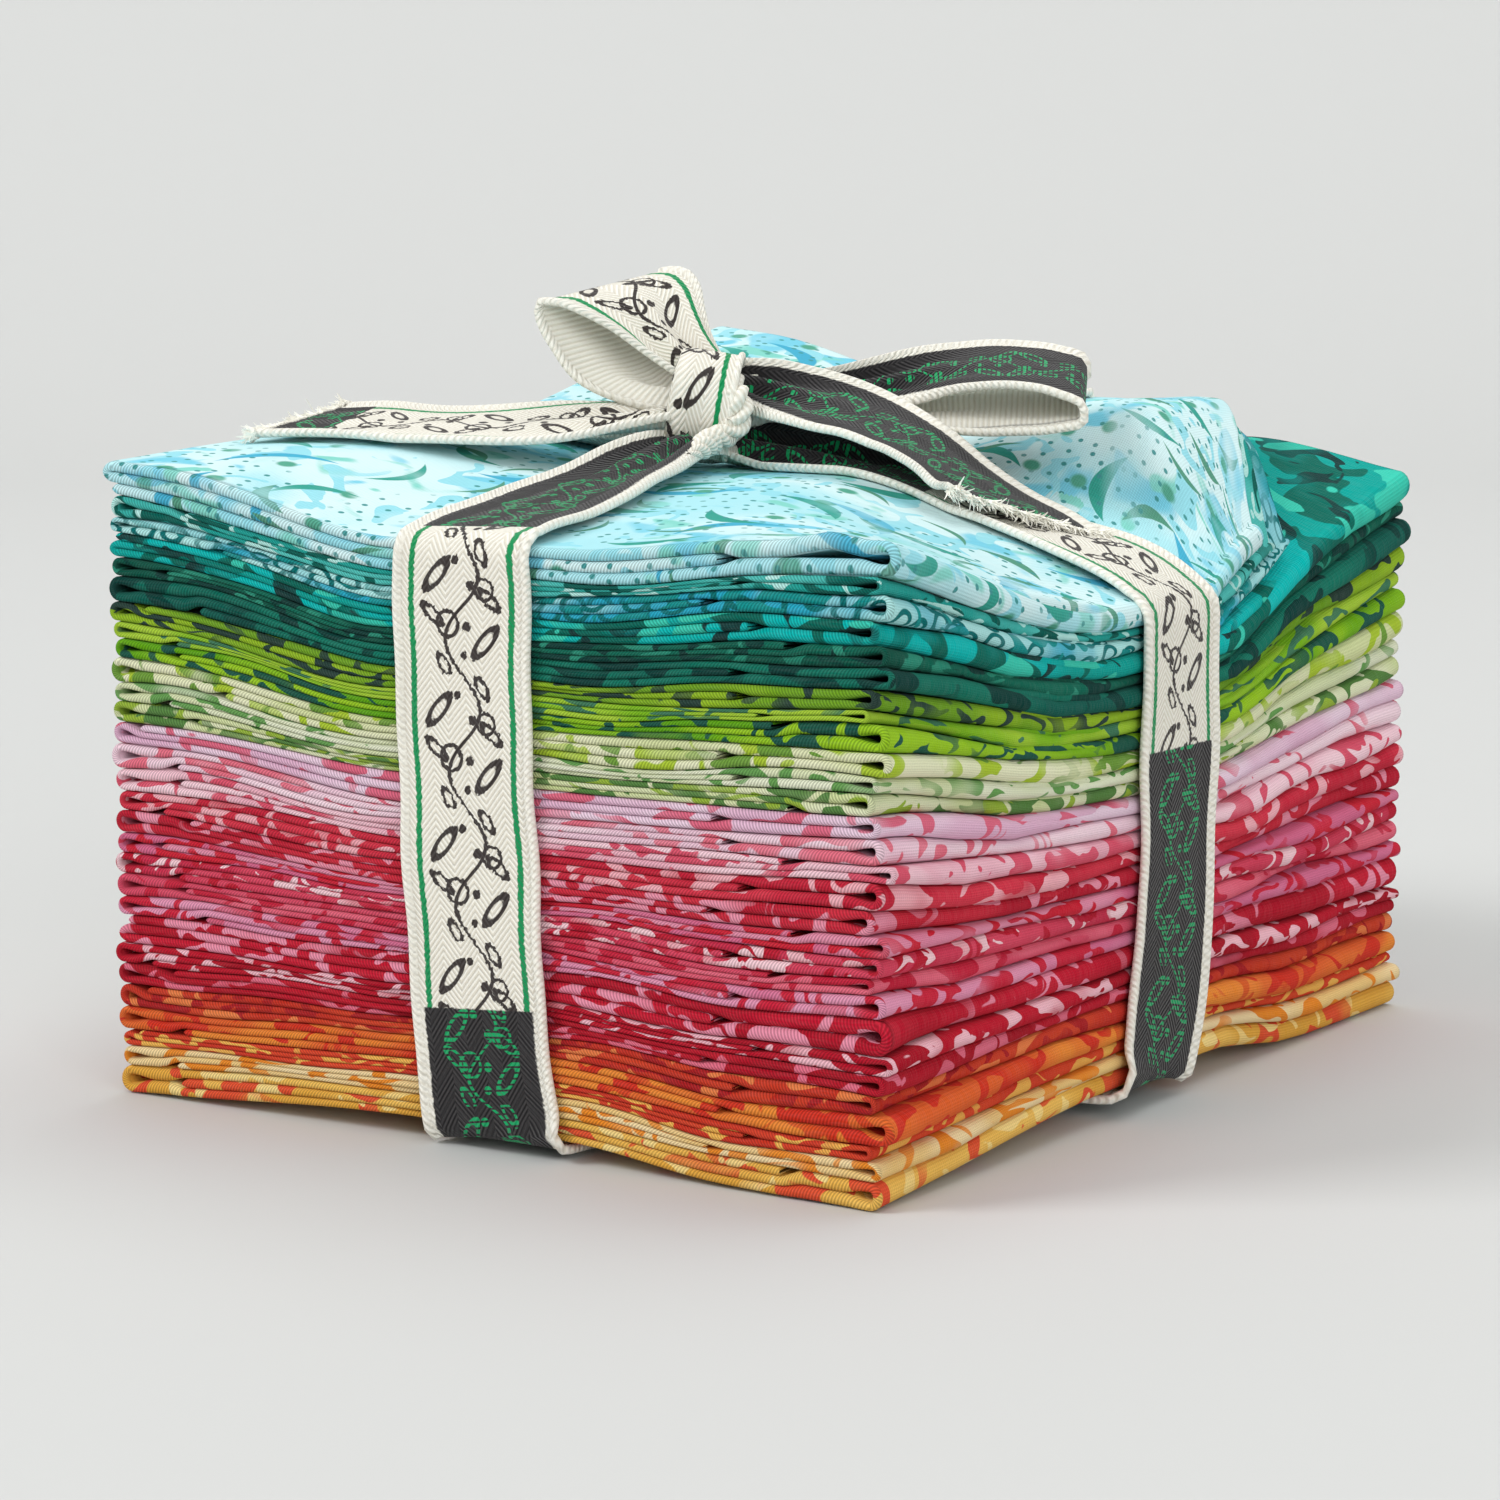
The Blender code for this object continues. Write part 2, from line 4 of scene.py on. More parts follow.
import bpy
import numpy as np
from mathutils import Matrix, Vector


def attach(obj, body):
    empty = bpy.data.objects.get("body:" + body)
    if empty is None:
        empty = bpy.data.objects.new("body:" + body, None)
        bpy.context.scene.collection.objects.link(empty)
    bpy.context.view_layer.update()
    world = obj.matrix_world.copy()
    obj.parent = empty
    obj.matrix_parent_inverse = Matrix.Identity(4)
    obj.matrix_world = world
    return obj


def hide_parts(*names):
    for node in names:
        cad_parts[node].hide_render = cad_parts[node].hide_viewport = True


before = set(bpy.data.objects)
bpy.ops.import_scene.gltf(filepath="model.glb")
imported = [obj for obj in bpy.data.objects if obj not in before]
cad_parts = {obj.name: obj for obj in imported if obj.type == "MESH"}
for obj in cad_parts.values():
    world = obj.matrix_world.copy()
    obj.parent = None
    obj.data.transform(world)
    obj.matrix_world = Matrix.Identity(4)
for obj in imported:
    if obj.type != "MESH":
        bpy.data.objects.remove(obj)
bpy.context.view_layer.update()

# Fat quarter bundle: 29 folded batik cottons tied both ways with a woven ribbon.
# Sizes are in millimetres and become metres as each mesh is made.
MM = 0.001
SEED = 29

# The stack, as the solids have it
SIDE_X = 74.6
SIDE_Y = 90.5
CHANNEL_Y_FAR = 15.0
CHANNEL_X_RIGHT = 17.0
X_LINES = np.array([-SIDE_X, -60.0, -17.0, CHANNEL_X_RIGHT, 45.0, SIDE_X])
Y_LINES = np.array([-SIDE_Y, -19.0, CHANNEL_Y_FAR, 52.0, SIDE_Y])
LOOSE_CLOTHS = 3
GAP = 0.12

# Heights of the stack's surfaces: a row for each place along Y, a column for each line along X
TOP = (
    (105.7, 104.3, 96.0, 96.0, 98.4, 100.4),
    (107.3, 107.0, 102.0, 102.0, 94.3, 83.5),
    (107.3, 107.0, 102.0, 102.0, 94.3, 83.5),
    (113.5, 112.5, 107.5, 107.5, 111.0, 88.5),
    (120.8, 119.0, 109.5, 109.5, 111.0, 92.0),
)
FOURTH = (
    (93.7, 92.6, 85.2, 85.2, 87.2, 89.1),
    (95.5, 95.2, 90.5, 90.5, 84.0, 75.0),
    (95.5, 95.2, 90.5, 90.5, 84.0, 75.0),
    (101.0, 100.0, 95.0, 95.0, 98.5, 88.0),
    (107.0, 105.4, 98.0, 98.0, 103.5, 98.7),
)
UNDER = (
    (0.0, 0.8, 3.3, 3.3, 0.6, 0.0),
    (4.0, 3.9, 3.6, 3.6, 4.0, 4.7),
    (4.0, 3.9, 3.6, 3.6, 4.0, 4.7),
    (0.6, 1.0, 3.4, 3.4, 0.8, 0.6),
    (0.0, 0.8, 3.3, 3.3, 0.6, 0.0),
)
SPREAD = (
    (0, 0, 0, 0, 0, 0),
    (0, 0, 0, 0, 0, 0),
    (0, 0, 0, 0, 0, 0),
    (0, 0, 0, 0, 0.04, 0.08),
    (0, 0, 0, 0, 0.08, 0.16),
)
# Soft crowns between the ribbons: middle, reach and height
CROWNS = (
    (-46, -56, 26, 30, 1.8),
    (46, -58, 20, 28, 1.6),
    (-46, 54, 24, 30, 2.0),
    (30, 46, 15, 26, 2.2),
)


def rgb(red, green, blue):
    """A screen colour as the shader's linear values."""
    parts = [c / 255 for c in (red, green, blue)]
    return tuple(c / 12.92 if c <= 0.04045 else ((c + 0.055) / 1.055) ** 2.4 for c in parts) + (1.0,)


# How each cloth is dyed. A print is its kind, colour, size in millimetres and share of the cloth.
Print = namedtuple("Print", "kind colour size share")
Dye = namedtuple("Dye", "ground second prints")


def patches(colour, size=9.0, share=0.36):
    return Print("patches", rgb(*colour), size, share)


# How each cloth lies. Flipped cloths have the full strip on top. Turned ones have their tucked
# end at the left. Both ends are read from the tucked side.
Cloth = namedtuple("Cloth", "thickness flipped turned tucked free far_tucked far_right dye")


def cloth(thickness, flipped, turned, tucked, free, dye, far=(SIDE_Y, SIDE_Y)):
    return Cloth(thickness, flipped, turned, tucked, free, far[0], far[1], dye)


CLOTHS = (
    cloth(5.6, True, False, 44, -72.5, Dye(
        rgb(212, 240, 242), rgb(172, 228, 236),
        (
            Print("washes", rgb(122, 206, 228), 15.0, 0.18),
            Print("washes", rgb(132, 212, 200), 11.0, 0.1),
            patches((152, 220, 232), 8.0, 0.18),
            Print("leaves", rgb(70, 174, 206), 29.0, 0.7),
            Print("leaves", rgb(54, 160, 144), 22.0, 0.85),
            Print("leaves", rgb(86, 152, 128), 17.0, 0.55),
            Print("dots", rgb(70, 150, 150), 3.8, 0.135),
            Print("dots", rgb(84, 164, 140), 16.0, 0.1),
        )), far=(74.0, 31.0)),
    cloth(2.4, False, False, 47, -58, Dye(
        rgb(30, 160, 150), rgb(84, 194, 186),
        (patches((0, 96, 86), 9.0, 0.36), patches((184, 234, 228), 7.0, 0.18))), far=(76.0, 37.0)),
    cloth(3.4, True, False, 41, -50, Dye(
        rgb(176, 230, 228), rgb(40, 168, 196),
        (Print("rings", rgb(0, 112, 112), 6.0, 0.34), patches((20, 146, 144), 10.0, 0.26))), far=(78.0, 43.0)),
    cloth(4.2, False, False, 50, -72.5, Dye(
        rgb(0, 184, 180), rgb(0, 160, 150),
        (patches((0, 104, 90), 14.0, 0.42), patches((18, 60, 58), 9.0, 0.14), patches((58, 200, 176), 13.0, 0.1)))),
    cloth(2.6, False, True, 62, -56, Dye(
        rgb(14, 106, 86), rgb(8, 84, 68),
        (patches((10, 62, 56)), patches((44, 142, 118), 8.0, 0.2)))),
    cloth(3.8, True, False, 46, -55, Dye(
        rgb(18, 118, 98), rgb(12, 92, 80),
        (patches((8, 64, 58), 11.0, 0.4),))),
    cloth(3.3, False, False, 47, -66, Dye(
        rgb(146, 184, 36), rgb(112, 160, 34),
        (patches((42, 66, 58), 7.0, 0.38),))),
    cloth(2.6, True, False, 52, -60, Dye(
        rgb(168, 204, 58), rgb(124, 184, 26),
        (patches((66, 124, 92), 9.0, 0.26),))),
    cloth(3.1, False, True, 60, -54, Dye(
        rgb(152, 198, 34), rgb(96, 164, 14),
        (patches((28, 88, 72), 7.0, 0.4),))),
    cloth(4.1, True, False, 44, -50, Dye(
        rgb(228, 230, 194), rgb(208, 216, 160),
        (patches((170, 198, 52), 9.0, 0.34), patches((112, 156, 60), 8.0, 0.16)))),
    cloth(3.0, True, False, 47, -62, Dye(
        rgb(226, 230, 204), rgb(212, 220, 176),
        (patches((104, 158, 84), 9.0, 0.34),))),
    cloth(3.0, True, True, 56, -58, Dye(
        rgb(222, 226, 190), rgb(200, 212, 150),
        (patches((88, 132, 66), 9.0, 0.4), patches((150, 180, 60), 8.0, 0.2)))),
    cloth(3.7, False, False, 43, -68, Dye(
        rgb(234, 206, 224), rgb(222, 176, 202),
        (patches((220, 104, 130), 10.0, 0.3),))),
    cloth(3.5, True, False, 45, -60, Dye(
        rgb(244, 216, 226), rgb(234, 196, 212),
        (patches((228, 112, 132), 9.0, 0.32),))),
    cloth(3.7, False, True, 60, -55, Dye(
        rgb(244, 206, 216), rgb(232, 170, 186),
        (patches((218, 84, 108), 7.0, 0.36),))),
    cloth(3.8, True, False, 48, -64, Dye(
        rgb(212, 54, 74), rgb(196, 34, 58),
        (patches((238, 172, 182), 7.0, 0.36),))),
    cloth(3.6, False, False, 42, -58, Dye(
        rgb(206, 44, 64), rgb(186, 26, 50),
        (patches((230, 146, 168), 7.0, 0.36),))),
    cloth(2.8, False, True, 64, -57, Dye(
        rgb(224, 142, 168), rgb(212, 104, 140),
        (patches((206, 32, 54), 8.0, 0.46),))),
    cloth(3.6, True, False, 45, -60, Dye(
        rgb(216, 72, 98), rgb(198, 44, 74),
        (patches((188, 22, 48), 9.0, 0.36), patches((244, 204, 212), 5.0, 0.2)))),
    cloth(3.2, False, True, 59, -54, Dye(
        rgb(228, 106, 128), rgb(214, 76, 102),
        (patches((198, 34, 62), 9.0, 0.42),))),
    cloth(3.4, True, False, 46, -55, Dye(
        rgb(226, 150, 180), rgb(212, 110, 146),
        (patches((204, 36, 62), 8.0, 0.48),))),
    cloth(4.8, False, False, 43, -72.5, Dye(
        rgb(198, 26, 52), rgb(178, 18, 42),
        (patches((232, 144, 168), 7.0, 0.36),))),
    cloth(3.0, True, False, 50, -66, Dye(
        rgb(190, 18, 44), rgb(168, 12, 36),
        (patches((240, 186, 198), 6.0, 0.38),))),
    cloth(3.3, False, False, 41, -62, Dye(
        rgb(192, 24, 46), rgb(172, 18, 38),
        (patches((226, 112, 136), 8.0, 0.34),))),
    cloth(3.4, False, False, 47, -68, Dye(
        rgb(208, 68, 40), rgb(194, 48, 34),
        (patches((172, 30, 34), 8.0, 0.36), patches((230, 128, 72), 9.0, 0.16)))),
    cloth(4.2, True, False, 44, -60, Dye(
        rgb(234, 140, 54), rgb(222, 98, 44),
        (patches((210, 50, 32), 8.0, 0.44),))),
    cloth(2.6, False, False, 49, -70, Dye(
        rgb(222, 76, 44), rgb(206, 56, 36),
        (patches((240, 184, 88), 7.0, 0.34),))),
    cloth(3.2, True, False, 42, -62, Dye(
        rgb(242, 218, 168), rgb(236, 200, 130),
        (patches((234, 140, 40), 9.0, 0.4),))),
    cloth(4.5, False, True, 61, -56, Dye(
        rgb(238, 190, 92), rgb(226, 168, 66),
        (patches((226, 84, 50), 9.0, 0.34), patches((244, 216, 140), 8.0, 0.2)))),
)


# Curves and surfaces

def slopes(xs, ys):
    """Slopes of a curve that never overshoots its values, along their last axis."""
    step = np.diff(xs)
    rate = np.diff(ys, axis=-1) / step
    before, after = rate[..., :-1], rate[..., 1:]
    same = before * after > 0
    heavy, light = 2 * step[1:] + step[:-1], step[1:] + 2 * step[:-1]
    safe_before, safe_after = np.where(same, before, 1.0), np.where(same, after, 1.0)
    inner = np.where(same, (heavy + light) / (heavy / safe_before + light / safe_after), 0.0)
    return np.concatenate([rate[..., :1], inner, rate[..., -1:]], axis=-1)


def curve(xs, ys, x):
    """A smooth curve through ys at xs. ys may have a row of values for each x."""
    xs, ys = np.asarray(xs, float), np.asarray(ys, float)
    x = np.clip(x, xs[0], xs[-1])
    slope = slopes(xs, ys)
    i = np.clip(np.searchsorted(xs, x, side="right") - 1, 0, len(xs) - 2)
    step = xs[i + 1] - xs[i]
    t = (x - xs[i]) / step
    if ys.ndim == 1:
        low, high, rise_low, rise_high = ys[i], ys[i + 1], slope[i], slope[i + 1]
    else:
        def pick(values, index):
            return np.take_along_axis(values, index[..., None], -1)[..., 0]

        low, high = pick(ys, i), pick(ys, i + 1)
        rise_low, rise_high = pick(slope, i), pick(slope, i + 1)
    square, cube = t * t, t * t * t
    return (
        (2 * cube - 3 * square + 1) * low
        + (cube - 2 * square + t) * step * rise_low
        + (3 * square - 2 * cube) * high
        + (cube - square) * step * rise_high
    )


def surface(table, x, y):
    """The smooth surface through a table's heights."""
    table = np.asarray(table, float)
    columns = [curve(Y_LINES, table[:, i], y) for i in range(len(X_LINES))]
    return curve(X_LINES, np.stack(columns, -1), x)


def ease(low, high, x):
    """Rises smoothly from 0 at low to 1 at high."""
    t = np.clip((x - low) / (high - low), 0.0, 1.0)
    return t * t * (3 - 2 * t)


def crown(x, y):
    """How much the cloth swells between the ribbons."""
    swell = 0.0
    for middle_x, middle_y, reach_x, reach_y, height in CROWNS:
        swell = swell + height * np.exp(-(((x - middle_x) / reach_x) ** 2) - ((y - middle_y) / reach_y) ** 2)
    return swell


def waves(rng, count, shortest, longest):
    """Random directions, lengths and phases for a gently uneven surface."""
    angle = rng.uniform(0, pi, count)
    length = rng.uniform(shortest, longest, count)
    return np.cos(angle) * 2 * pi / length, np.sin(angle) * 2 * pi / length, rng.uniform(0, 2 * pi, count)


UNEVEN_RNG = np.random.default_rng(SEED)
UNEVEN = [waves(UNEVEN_RNG, 5, 26.0, 80.0) for _ in range(len(CLOTHS) + 1)]
TOTAL_LOWER = sum(c.thickness for c in CLOTHS[LOOSE_CLOTHS:])
TOTAL_LOOSE = sum(c.thickness for c in CLOTHS[:LOOSE_CLOTHS])


def unevenness(boundary, x, y):
    """A small random rise of the surface between two cloths."""
    wave_x, wave_y, phase = UNEVEN[boundary]
    total = sum(np.sin(a * x + b * y + c) for a, b, c in zip(wave_x, wave_y, phase, strict=True))
    amount = 0.0 if boundary in (0, len(CLOTHS)) else 0.2
    return amount * total


def boundary_height(boundary, x, y, line_x, line_y):
    """The height above this many cloths from the top. Lines are where the points were before the ribbon drew them in."""
    under = surface(UNDER, x, y)
    fourth = surface(FOURTH, x, y)
    if boundary > LOOSE_CLOTHS:
        share = sum(c.thickness for c in CLOTHS[boundary:]) / TOTAL_LOWER
        spread = surface(SPREAD, x, y)
        bent = share + spread * (share**3 - share)
        rise = crown(x, y) * share**2 * 0.85
        return under + (fourth - under) * bent + rise + unevenness(boundary, x, y)
    share = sum(c.thickness for c in CLOTHS[boundary:LOOSE_CLOTHS]) / TOTAL_LOOSE
    drawn = ease(0.5, 12.0, line_y - y)
    low = fourth + 0.85 * crown(x, y) + 2.0 * drawn
    high = surface(TOP, line_x, line_y) + crown(x, y)
    return low + (high - low) * share + unevenness(boundary, x, y)


def drawn_in(item, x, line_y):
    """Where a line along X crosses this cloth, which the ribbon may draw in at its far right corner."""
    far = curve([CHANNEL_X_RIGHT, 45.0, SIDE_X], [SIDE_Y, item.far_tucked, item.far_right], x)
    far = np.where(x <= CHANNEL_X_RIGHT, SIDE_Y, far)
    share = (line_y - CHANNEL_Y_FAR) / (SIDE_Y - CHANNEL_Y_FAR)
    return np.where(line_y > CHANNEL_Y_FAR, CHANNEL_Y_FAR + share * (far - CHANNEL_Y_FAR), line_y)


# The second fold, along X: three strips, tucked, full and free, joined by two round turns.
# A station has its place, its level in the cloth's height, half its thickness and how far the
# layers are offset. Outward is 1 where the outer layer faces up.
Station = namedtuple("Station", "x level half outward turn edge strip")
TURN_REACH = 1.7
THREE_HALF = 0.163
TWO_HALF = 0.244
TURN_LEAST = 1.1
TURN_MOST = 2.6
TURN_STEPS = 9
LIFT = 1.3
LIFT_X = 63.0
LIFT_REACH = 5.0
STRIP_STEP = 3.4
FINE_STEP = 0.85


def strip_places(start, stop, fine):
    """Places along a strip, closer together where its level changes."""
    low, high = min(start, stop), max(start, stop)
    places = list(np.linspace(low, high, int((high - low) / STRIP_STEP) + 2))
    for place in fine:
        places += [p for p in np.arange(place - 6, place + 6, FINE_STEP) if low < p < high]
    places = sorted(places)
    kept = [places[0]]
    for place in places[1:-1]:
        if place - kept[-1] > 0.6 and high - place > 0.6:
            kept.append(place)
    kept.append(places[-1])
    return kept if start < stop else kept[::-1]


def fold_path(item):
    """Stations along the cloth's second fold, from its tucked end to its free end."""
    tucked, free = item.tucked, item.free
    edge = SIDE_X - TURN_REACH
    flush = free < -70
    fine = (tucked, free, edge - 4, -edge + 4)
    closed = TWO_HALF - THREE_HALF
    path = []

    def level_of(strip, x):
        right = ease(tucked + 0.4, tucked + 4.5, x) * (1 - ease(edge - 5, edge - 0.3, x))
        left = 0.0 if flush else ease(-free + 0.2, -free + 5, -x)
        near_turn = ease(edge - 5, edge - 0.3, -x)
        if strip == "full":
            level = 0.166 + 0.084 * max(right, left * (1 - near_turn))
            half = THREE_HALF + closed * max(right, left * (1 - near_turn))
        elif strip == "free":
            level = 0.834 - 0.084 * right
            half = THREE_HALF + closed * right
        else:
            level = 0.5 + left * (0.25 + 0.084 * near_turn)
            half = THREE_HALF + closed * left * (1 - near_turn)
        return level, half

    def strip(name, start, stop, outward):
        for x in strip_places(start, stop, fine):
            level, half = level_of(name, x)
            path.append(Station(x, level, half, outward, 0.0, 0, name))

    def turn(side, low_strip, high_strip, upward):
        low, half = level_of(low_strip, side * edge)
        high, _ = level_of(high_strip, side * edge)
        angles = np.linspace(-pi / 2, pi / 2, TURN_STEPS + 2)[1:-1]
        for angle in angles if upward else angles[::-1]:
            level = (low + high) / 2 + sin(angle) * (high - low) / 2
            path.append(Station(side * edge, level, half, sin(angle), cos(angle), side, "turn"))

    level, half = level_of("tucked", tucked)
    for over, share in ((0.55, 0.12), (0.4, 0.55), (0.0, 0.86)):
        path.append(Station(tucked + over, level, half * share, 1.0, 0.0, 0, "tucked"))
    strip("tucked", tucked - 0.7, -edge, 1.0)
    turn(-1, "full", "tucked", upward=False)
    strip("full", -edge, edge, -1.0)
    turn(1, "full", "free", upward=True)
    strip("free", edge, free, 1.0)
    level, half = level_of("free", free)
    for over, share in ((0.3, 0.75), (0.5, 0.3)):
        path.append(Station(free - over, level, half * share, 1.0, 0.0, 0, "free"))
    return path


# The first fold, along Y: a flap inside, a base layer outside and a top layer round it.
# A row has its place along Y, its layer from -1 outside to 1 inside, and how far it curls.
Row = namedtuple("Row", "y layer curl side")
FLAP_END = 3.0
TOP_END = 4.0


def fold_rows(dense):
    """Rows across the cloth's first fold, from the flap's raw edge to the top layer's."""
    near = (-SIDE_Y + 0.9, -SIDE_Y + 2.4, -SIDE_Y + 5.5)
    far = (SIDE_Y - 5.5, SIDE_Y - 2.4, SIDE_Y - 0.9)
    coarse = (-76, -52, -30, -17, 0, 13, 26, 40, 56, 74)
    base = tuple(np.linspace(-82, 82, 56)) if dense else (-80, -68, -52, -38, -26, -17, -8, 0, 8, 15, 23, 32, 44, 56, 68, 80)
    rows = [Row(y, 0.0, 0.0, 0) for y in (-SIDE_Y + FLAP_END, -60, -17, 15, 60, SIDE_Y - 1.2)]
    for angle in np.linspace(0, pi, 7)[1:-1]:
        rows.append(Row(SIDE_Y, -0.5 + 0.5 * cos(angle), sin(angle) / 2 - 0.5, 1))
    rows += [Row(y, -1.0, 0.0, 0) for y in (*far[::-1], *base[::-1], *near[::-1])]
    for angle in np.linspace(-pi / 2, pi / 2, 9):
        rows.append(Row(-SIDE_Y, sin(angle), 1 - cos(angle), -1))
    rows += [Row(y, 1.0, 0.0, 0) for y in (*near, *coarse, SIDE_Y - TOP_END - 3, SIDE_Y - TOP_END)]
    return rows


def make_cotton(number):
    """One folded cloth as the sheet that it is, with its flat cloth as its map."""
    item = CLOTHS[number - 1]
    rng = np.random.default_rng(SEED * 1000 + number)
    path, rows = fold_path(item), fold_rows(number == 1)
    mirror = -1.0 if item.turned else 1.0
    x_line = np.array([s.x for s in path]) * mirror
    level = np.array([s.level for s in path])
    half = np.array([s.half for s in path])
    outward = np.array([s.outward for s in path])
    reach = np.array([s.turn for s in path])
    edge = np.array([s.edge for s in path]) * mirror
    if item.flipped:
        level, outward = 1 - level, -outward
    y_line = np.array([r.y for r in rows])
    layer = np.array([r.layer for r in rows])
    curl = np.array([r.curl for r in rows])
    side = np.array([r.side for r in rows])

    # Edges wander a little, each strip on its own, and stand in where the ribbon holds them
    def wander(amount, places):
        knots = np.linspace(-95, 95, 9)
        return curve(knots, amount * rng.uniform(-1, 1, len(knots)), places)

    strips = {name: i for i, name in enumerate(("tucked", "full", "free", "turn"))}
    which = np.array([strips[s.strip] for s in path])
    front, back = np.zeros(len(path)), np.zeros(len(path))
    for i in range(3):
        for edge_shift in (front, back):
            own = wander(0.6, x_line) + rng.uniform(-0.55, 0.55)
            edge_shift += np.where(which == i, own, 0.0)
    for edge_shift in (front, back):
        turning = which == 3
        places = np.arange(len(path))
        edge_shift[turning] = np.interp(places[turning], places[~turning], edge_shift[~turning])
        held = 1 - ease(22, 12, np.abs(x_line + 1))
        edge_shift *= 1 - 0.75 * held
    under_band = np.abs(x_line + 1) < 17
    front -= 0.4 * ease(22, 12, np.abs(x_line + 2)) * (number <= 2)
    front[under_band] = np.minimum(front[under_band], 0.1)
    back[under_band] = np.minimum(back[under_band], 0.2)
    left = wander(0.9, y_line) + rng.uniform(-0.5, 0.5)
    right = wander(0.8, y_line) + rng.uniform(-1.0, 0.6) + rng.uniform(-2.2, 1.0) * ease(55, SIDE_Y, -y_line)
    held = ease(22, 12, np.abs(y_line))
    left, right = left * (1 - 0.8 * held), right * (1 - 0.8 * held)
    if number == len(CLOTHS):
        left, right = left * 0.5, right * 0.5

    x_grid = x_line[:, None] + 0 * y_line[None, :]
    x_grid = x_grid - ease(40, 73, -x_grid) * left[None, :] + ease(40, 73, x_grid) * right[None, :]
    line_y = y_line[None, :] + 0 * x_grid
    near, far = ease(60, SIDE_Y, -y_line), ease(60, SIDE_Y, y_line)
    line_y = line_y - near[None, :] * front[:, None] + far[None, :] * back[:, None]
    line_x = x_line[:, None] + 0 * line_y
    loose = number <= LOOSE_CLOTHS
    y_grid = drawn_in(item, line_x, line_y) if loose else line_y
    low = boundary_height(number, x_grid, y_grid, line_x, line_y)
    high = boundary_height(number - 1, x_grid, y_grid, line_x, line_y)
    if number == len(CLOTHS):
        low = np.maximum(low, 0.05)
    low, high = low + GAP / 2, high - GAP / 2
    height = high - low
    z_grid = low + height * (level[:, None] - outward[:, None] * half[:, None] * layer[None, :])
    if number == 1:
        lifted = np.where(which == 1, 1.0, 0.0) * LIFT * np.exp(-(((x_line - LIFT_X) / LIFT_REACH) ** 2))
        z_grid = z_grid + lifted[:, None] * ease(72, 86, -y_line)[None, :]
    shrink = 1 - 0.7 * (layer[None, :] + 1) / 2
    most = TURN_MOST - 0.7 * held[None, :]
    x_grid = x_grid + edge[:, None] * reach[:, None] * shrink * np.clip(0.5 * height, TURN_LEAST, most)
    bead = half[:, None] * height
    y_grid = y_grid + curl[None, :] * bead

    # The flat cloth: distances along both folds
    along = np.concatenate([[0.0], np.cumsum(np.hypot(np.diff(x_line), 3.2 * np.diff(level)) + 0.35 * (reach[1:] > 0))])
    across = np.concatenate([[0.0], np.cumsum(np.abs(np.diff(y_line)) + 0.34 * (side[1:] != 0))])
    spots = np.stack([x_grid, y_grid, z_grid], -1)
    maps = np.stack(np.meshgrid(along / along[-1], across / across[-1], indexing="ij"), -1)
    name = f"cotton_{number:02d}"
    piece = grid_piece(name, spots, maps)
    bead_mark = np.where(side != 0, 1.0, 0.0)[None, :] * np.ones(len(path))[:, None]
    mark(piece, "bead", bead_mark)
    piece.data.materials.append(cotton(name, item.dye, number, along[-1], across[-1]))
    node = f"fat_quarter_{number:02d}"
    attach(piece, "root")
    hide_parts(node)
    return piece


def grid_piece(name, spots, maps, closed_along=False, closed_across=False):
    """A mesh object from a grid of points in millimetres, with its map."""
    rows, columns = spots.shape[:2]
    verts = (spots.reshape(-1, 3) * MM).tolist()
    i = np.arange(rows if closed_along else rows - 1)
    j = np.arange(columns if closed_across else columns - 1)
    i, j = [a.ravel() for a in np.meshgrid(i, j, indexing="ij")]
    i_next, j_next = (i + 1) % rows, (j + 1) % columns
    faces = np.stack([i * columns + j, i_next * columns + j, i_next * columns + j_next, i * columns + j_next], -1)
    mesh = bpy.data.meshes.new(name)
    mesh.from_pydata(verts, [], faces.tolist())
    layer = mesh.uv_layers.new(name="OFBake")
    if maps.shape[0] == rows:
        u_next, v_next = i_next, j_next
    if maps.shape[0] > rows:
        u_next = i + 1
    else:
        u_next = i_next
    if maps.shape[1] > columns:
        v_next = j + 1
    else:
        v_next = j_next
    corners = np.stack([maps[i, j], maps[u_next, j], maps[u_next, v_next], maps[i, v_next]], 1)
    layer.data.foreach_set("uv", corners.reshape(-1).astype(np.float32))
    mesh.polygons.foreach_set("use_smooth", np.ones(len(faces), bool))
    mesh.update()
    piece = bpy.data.objects.new(name, mesh)
    bpy.context.scene.collection.objects.link(piece)
    return piece


def mark(piece, name, values):
    """A number at each point of a piece, for its material."""
    layer = piece.data.attributes.new(name, "FLOAT", "POINT")
    layer.data.foreach_set("value", values.reshape(-1).astype(np.float32))


# Materials

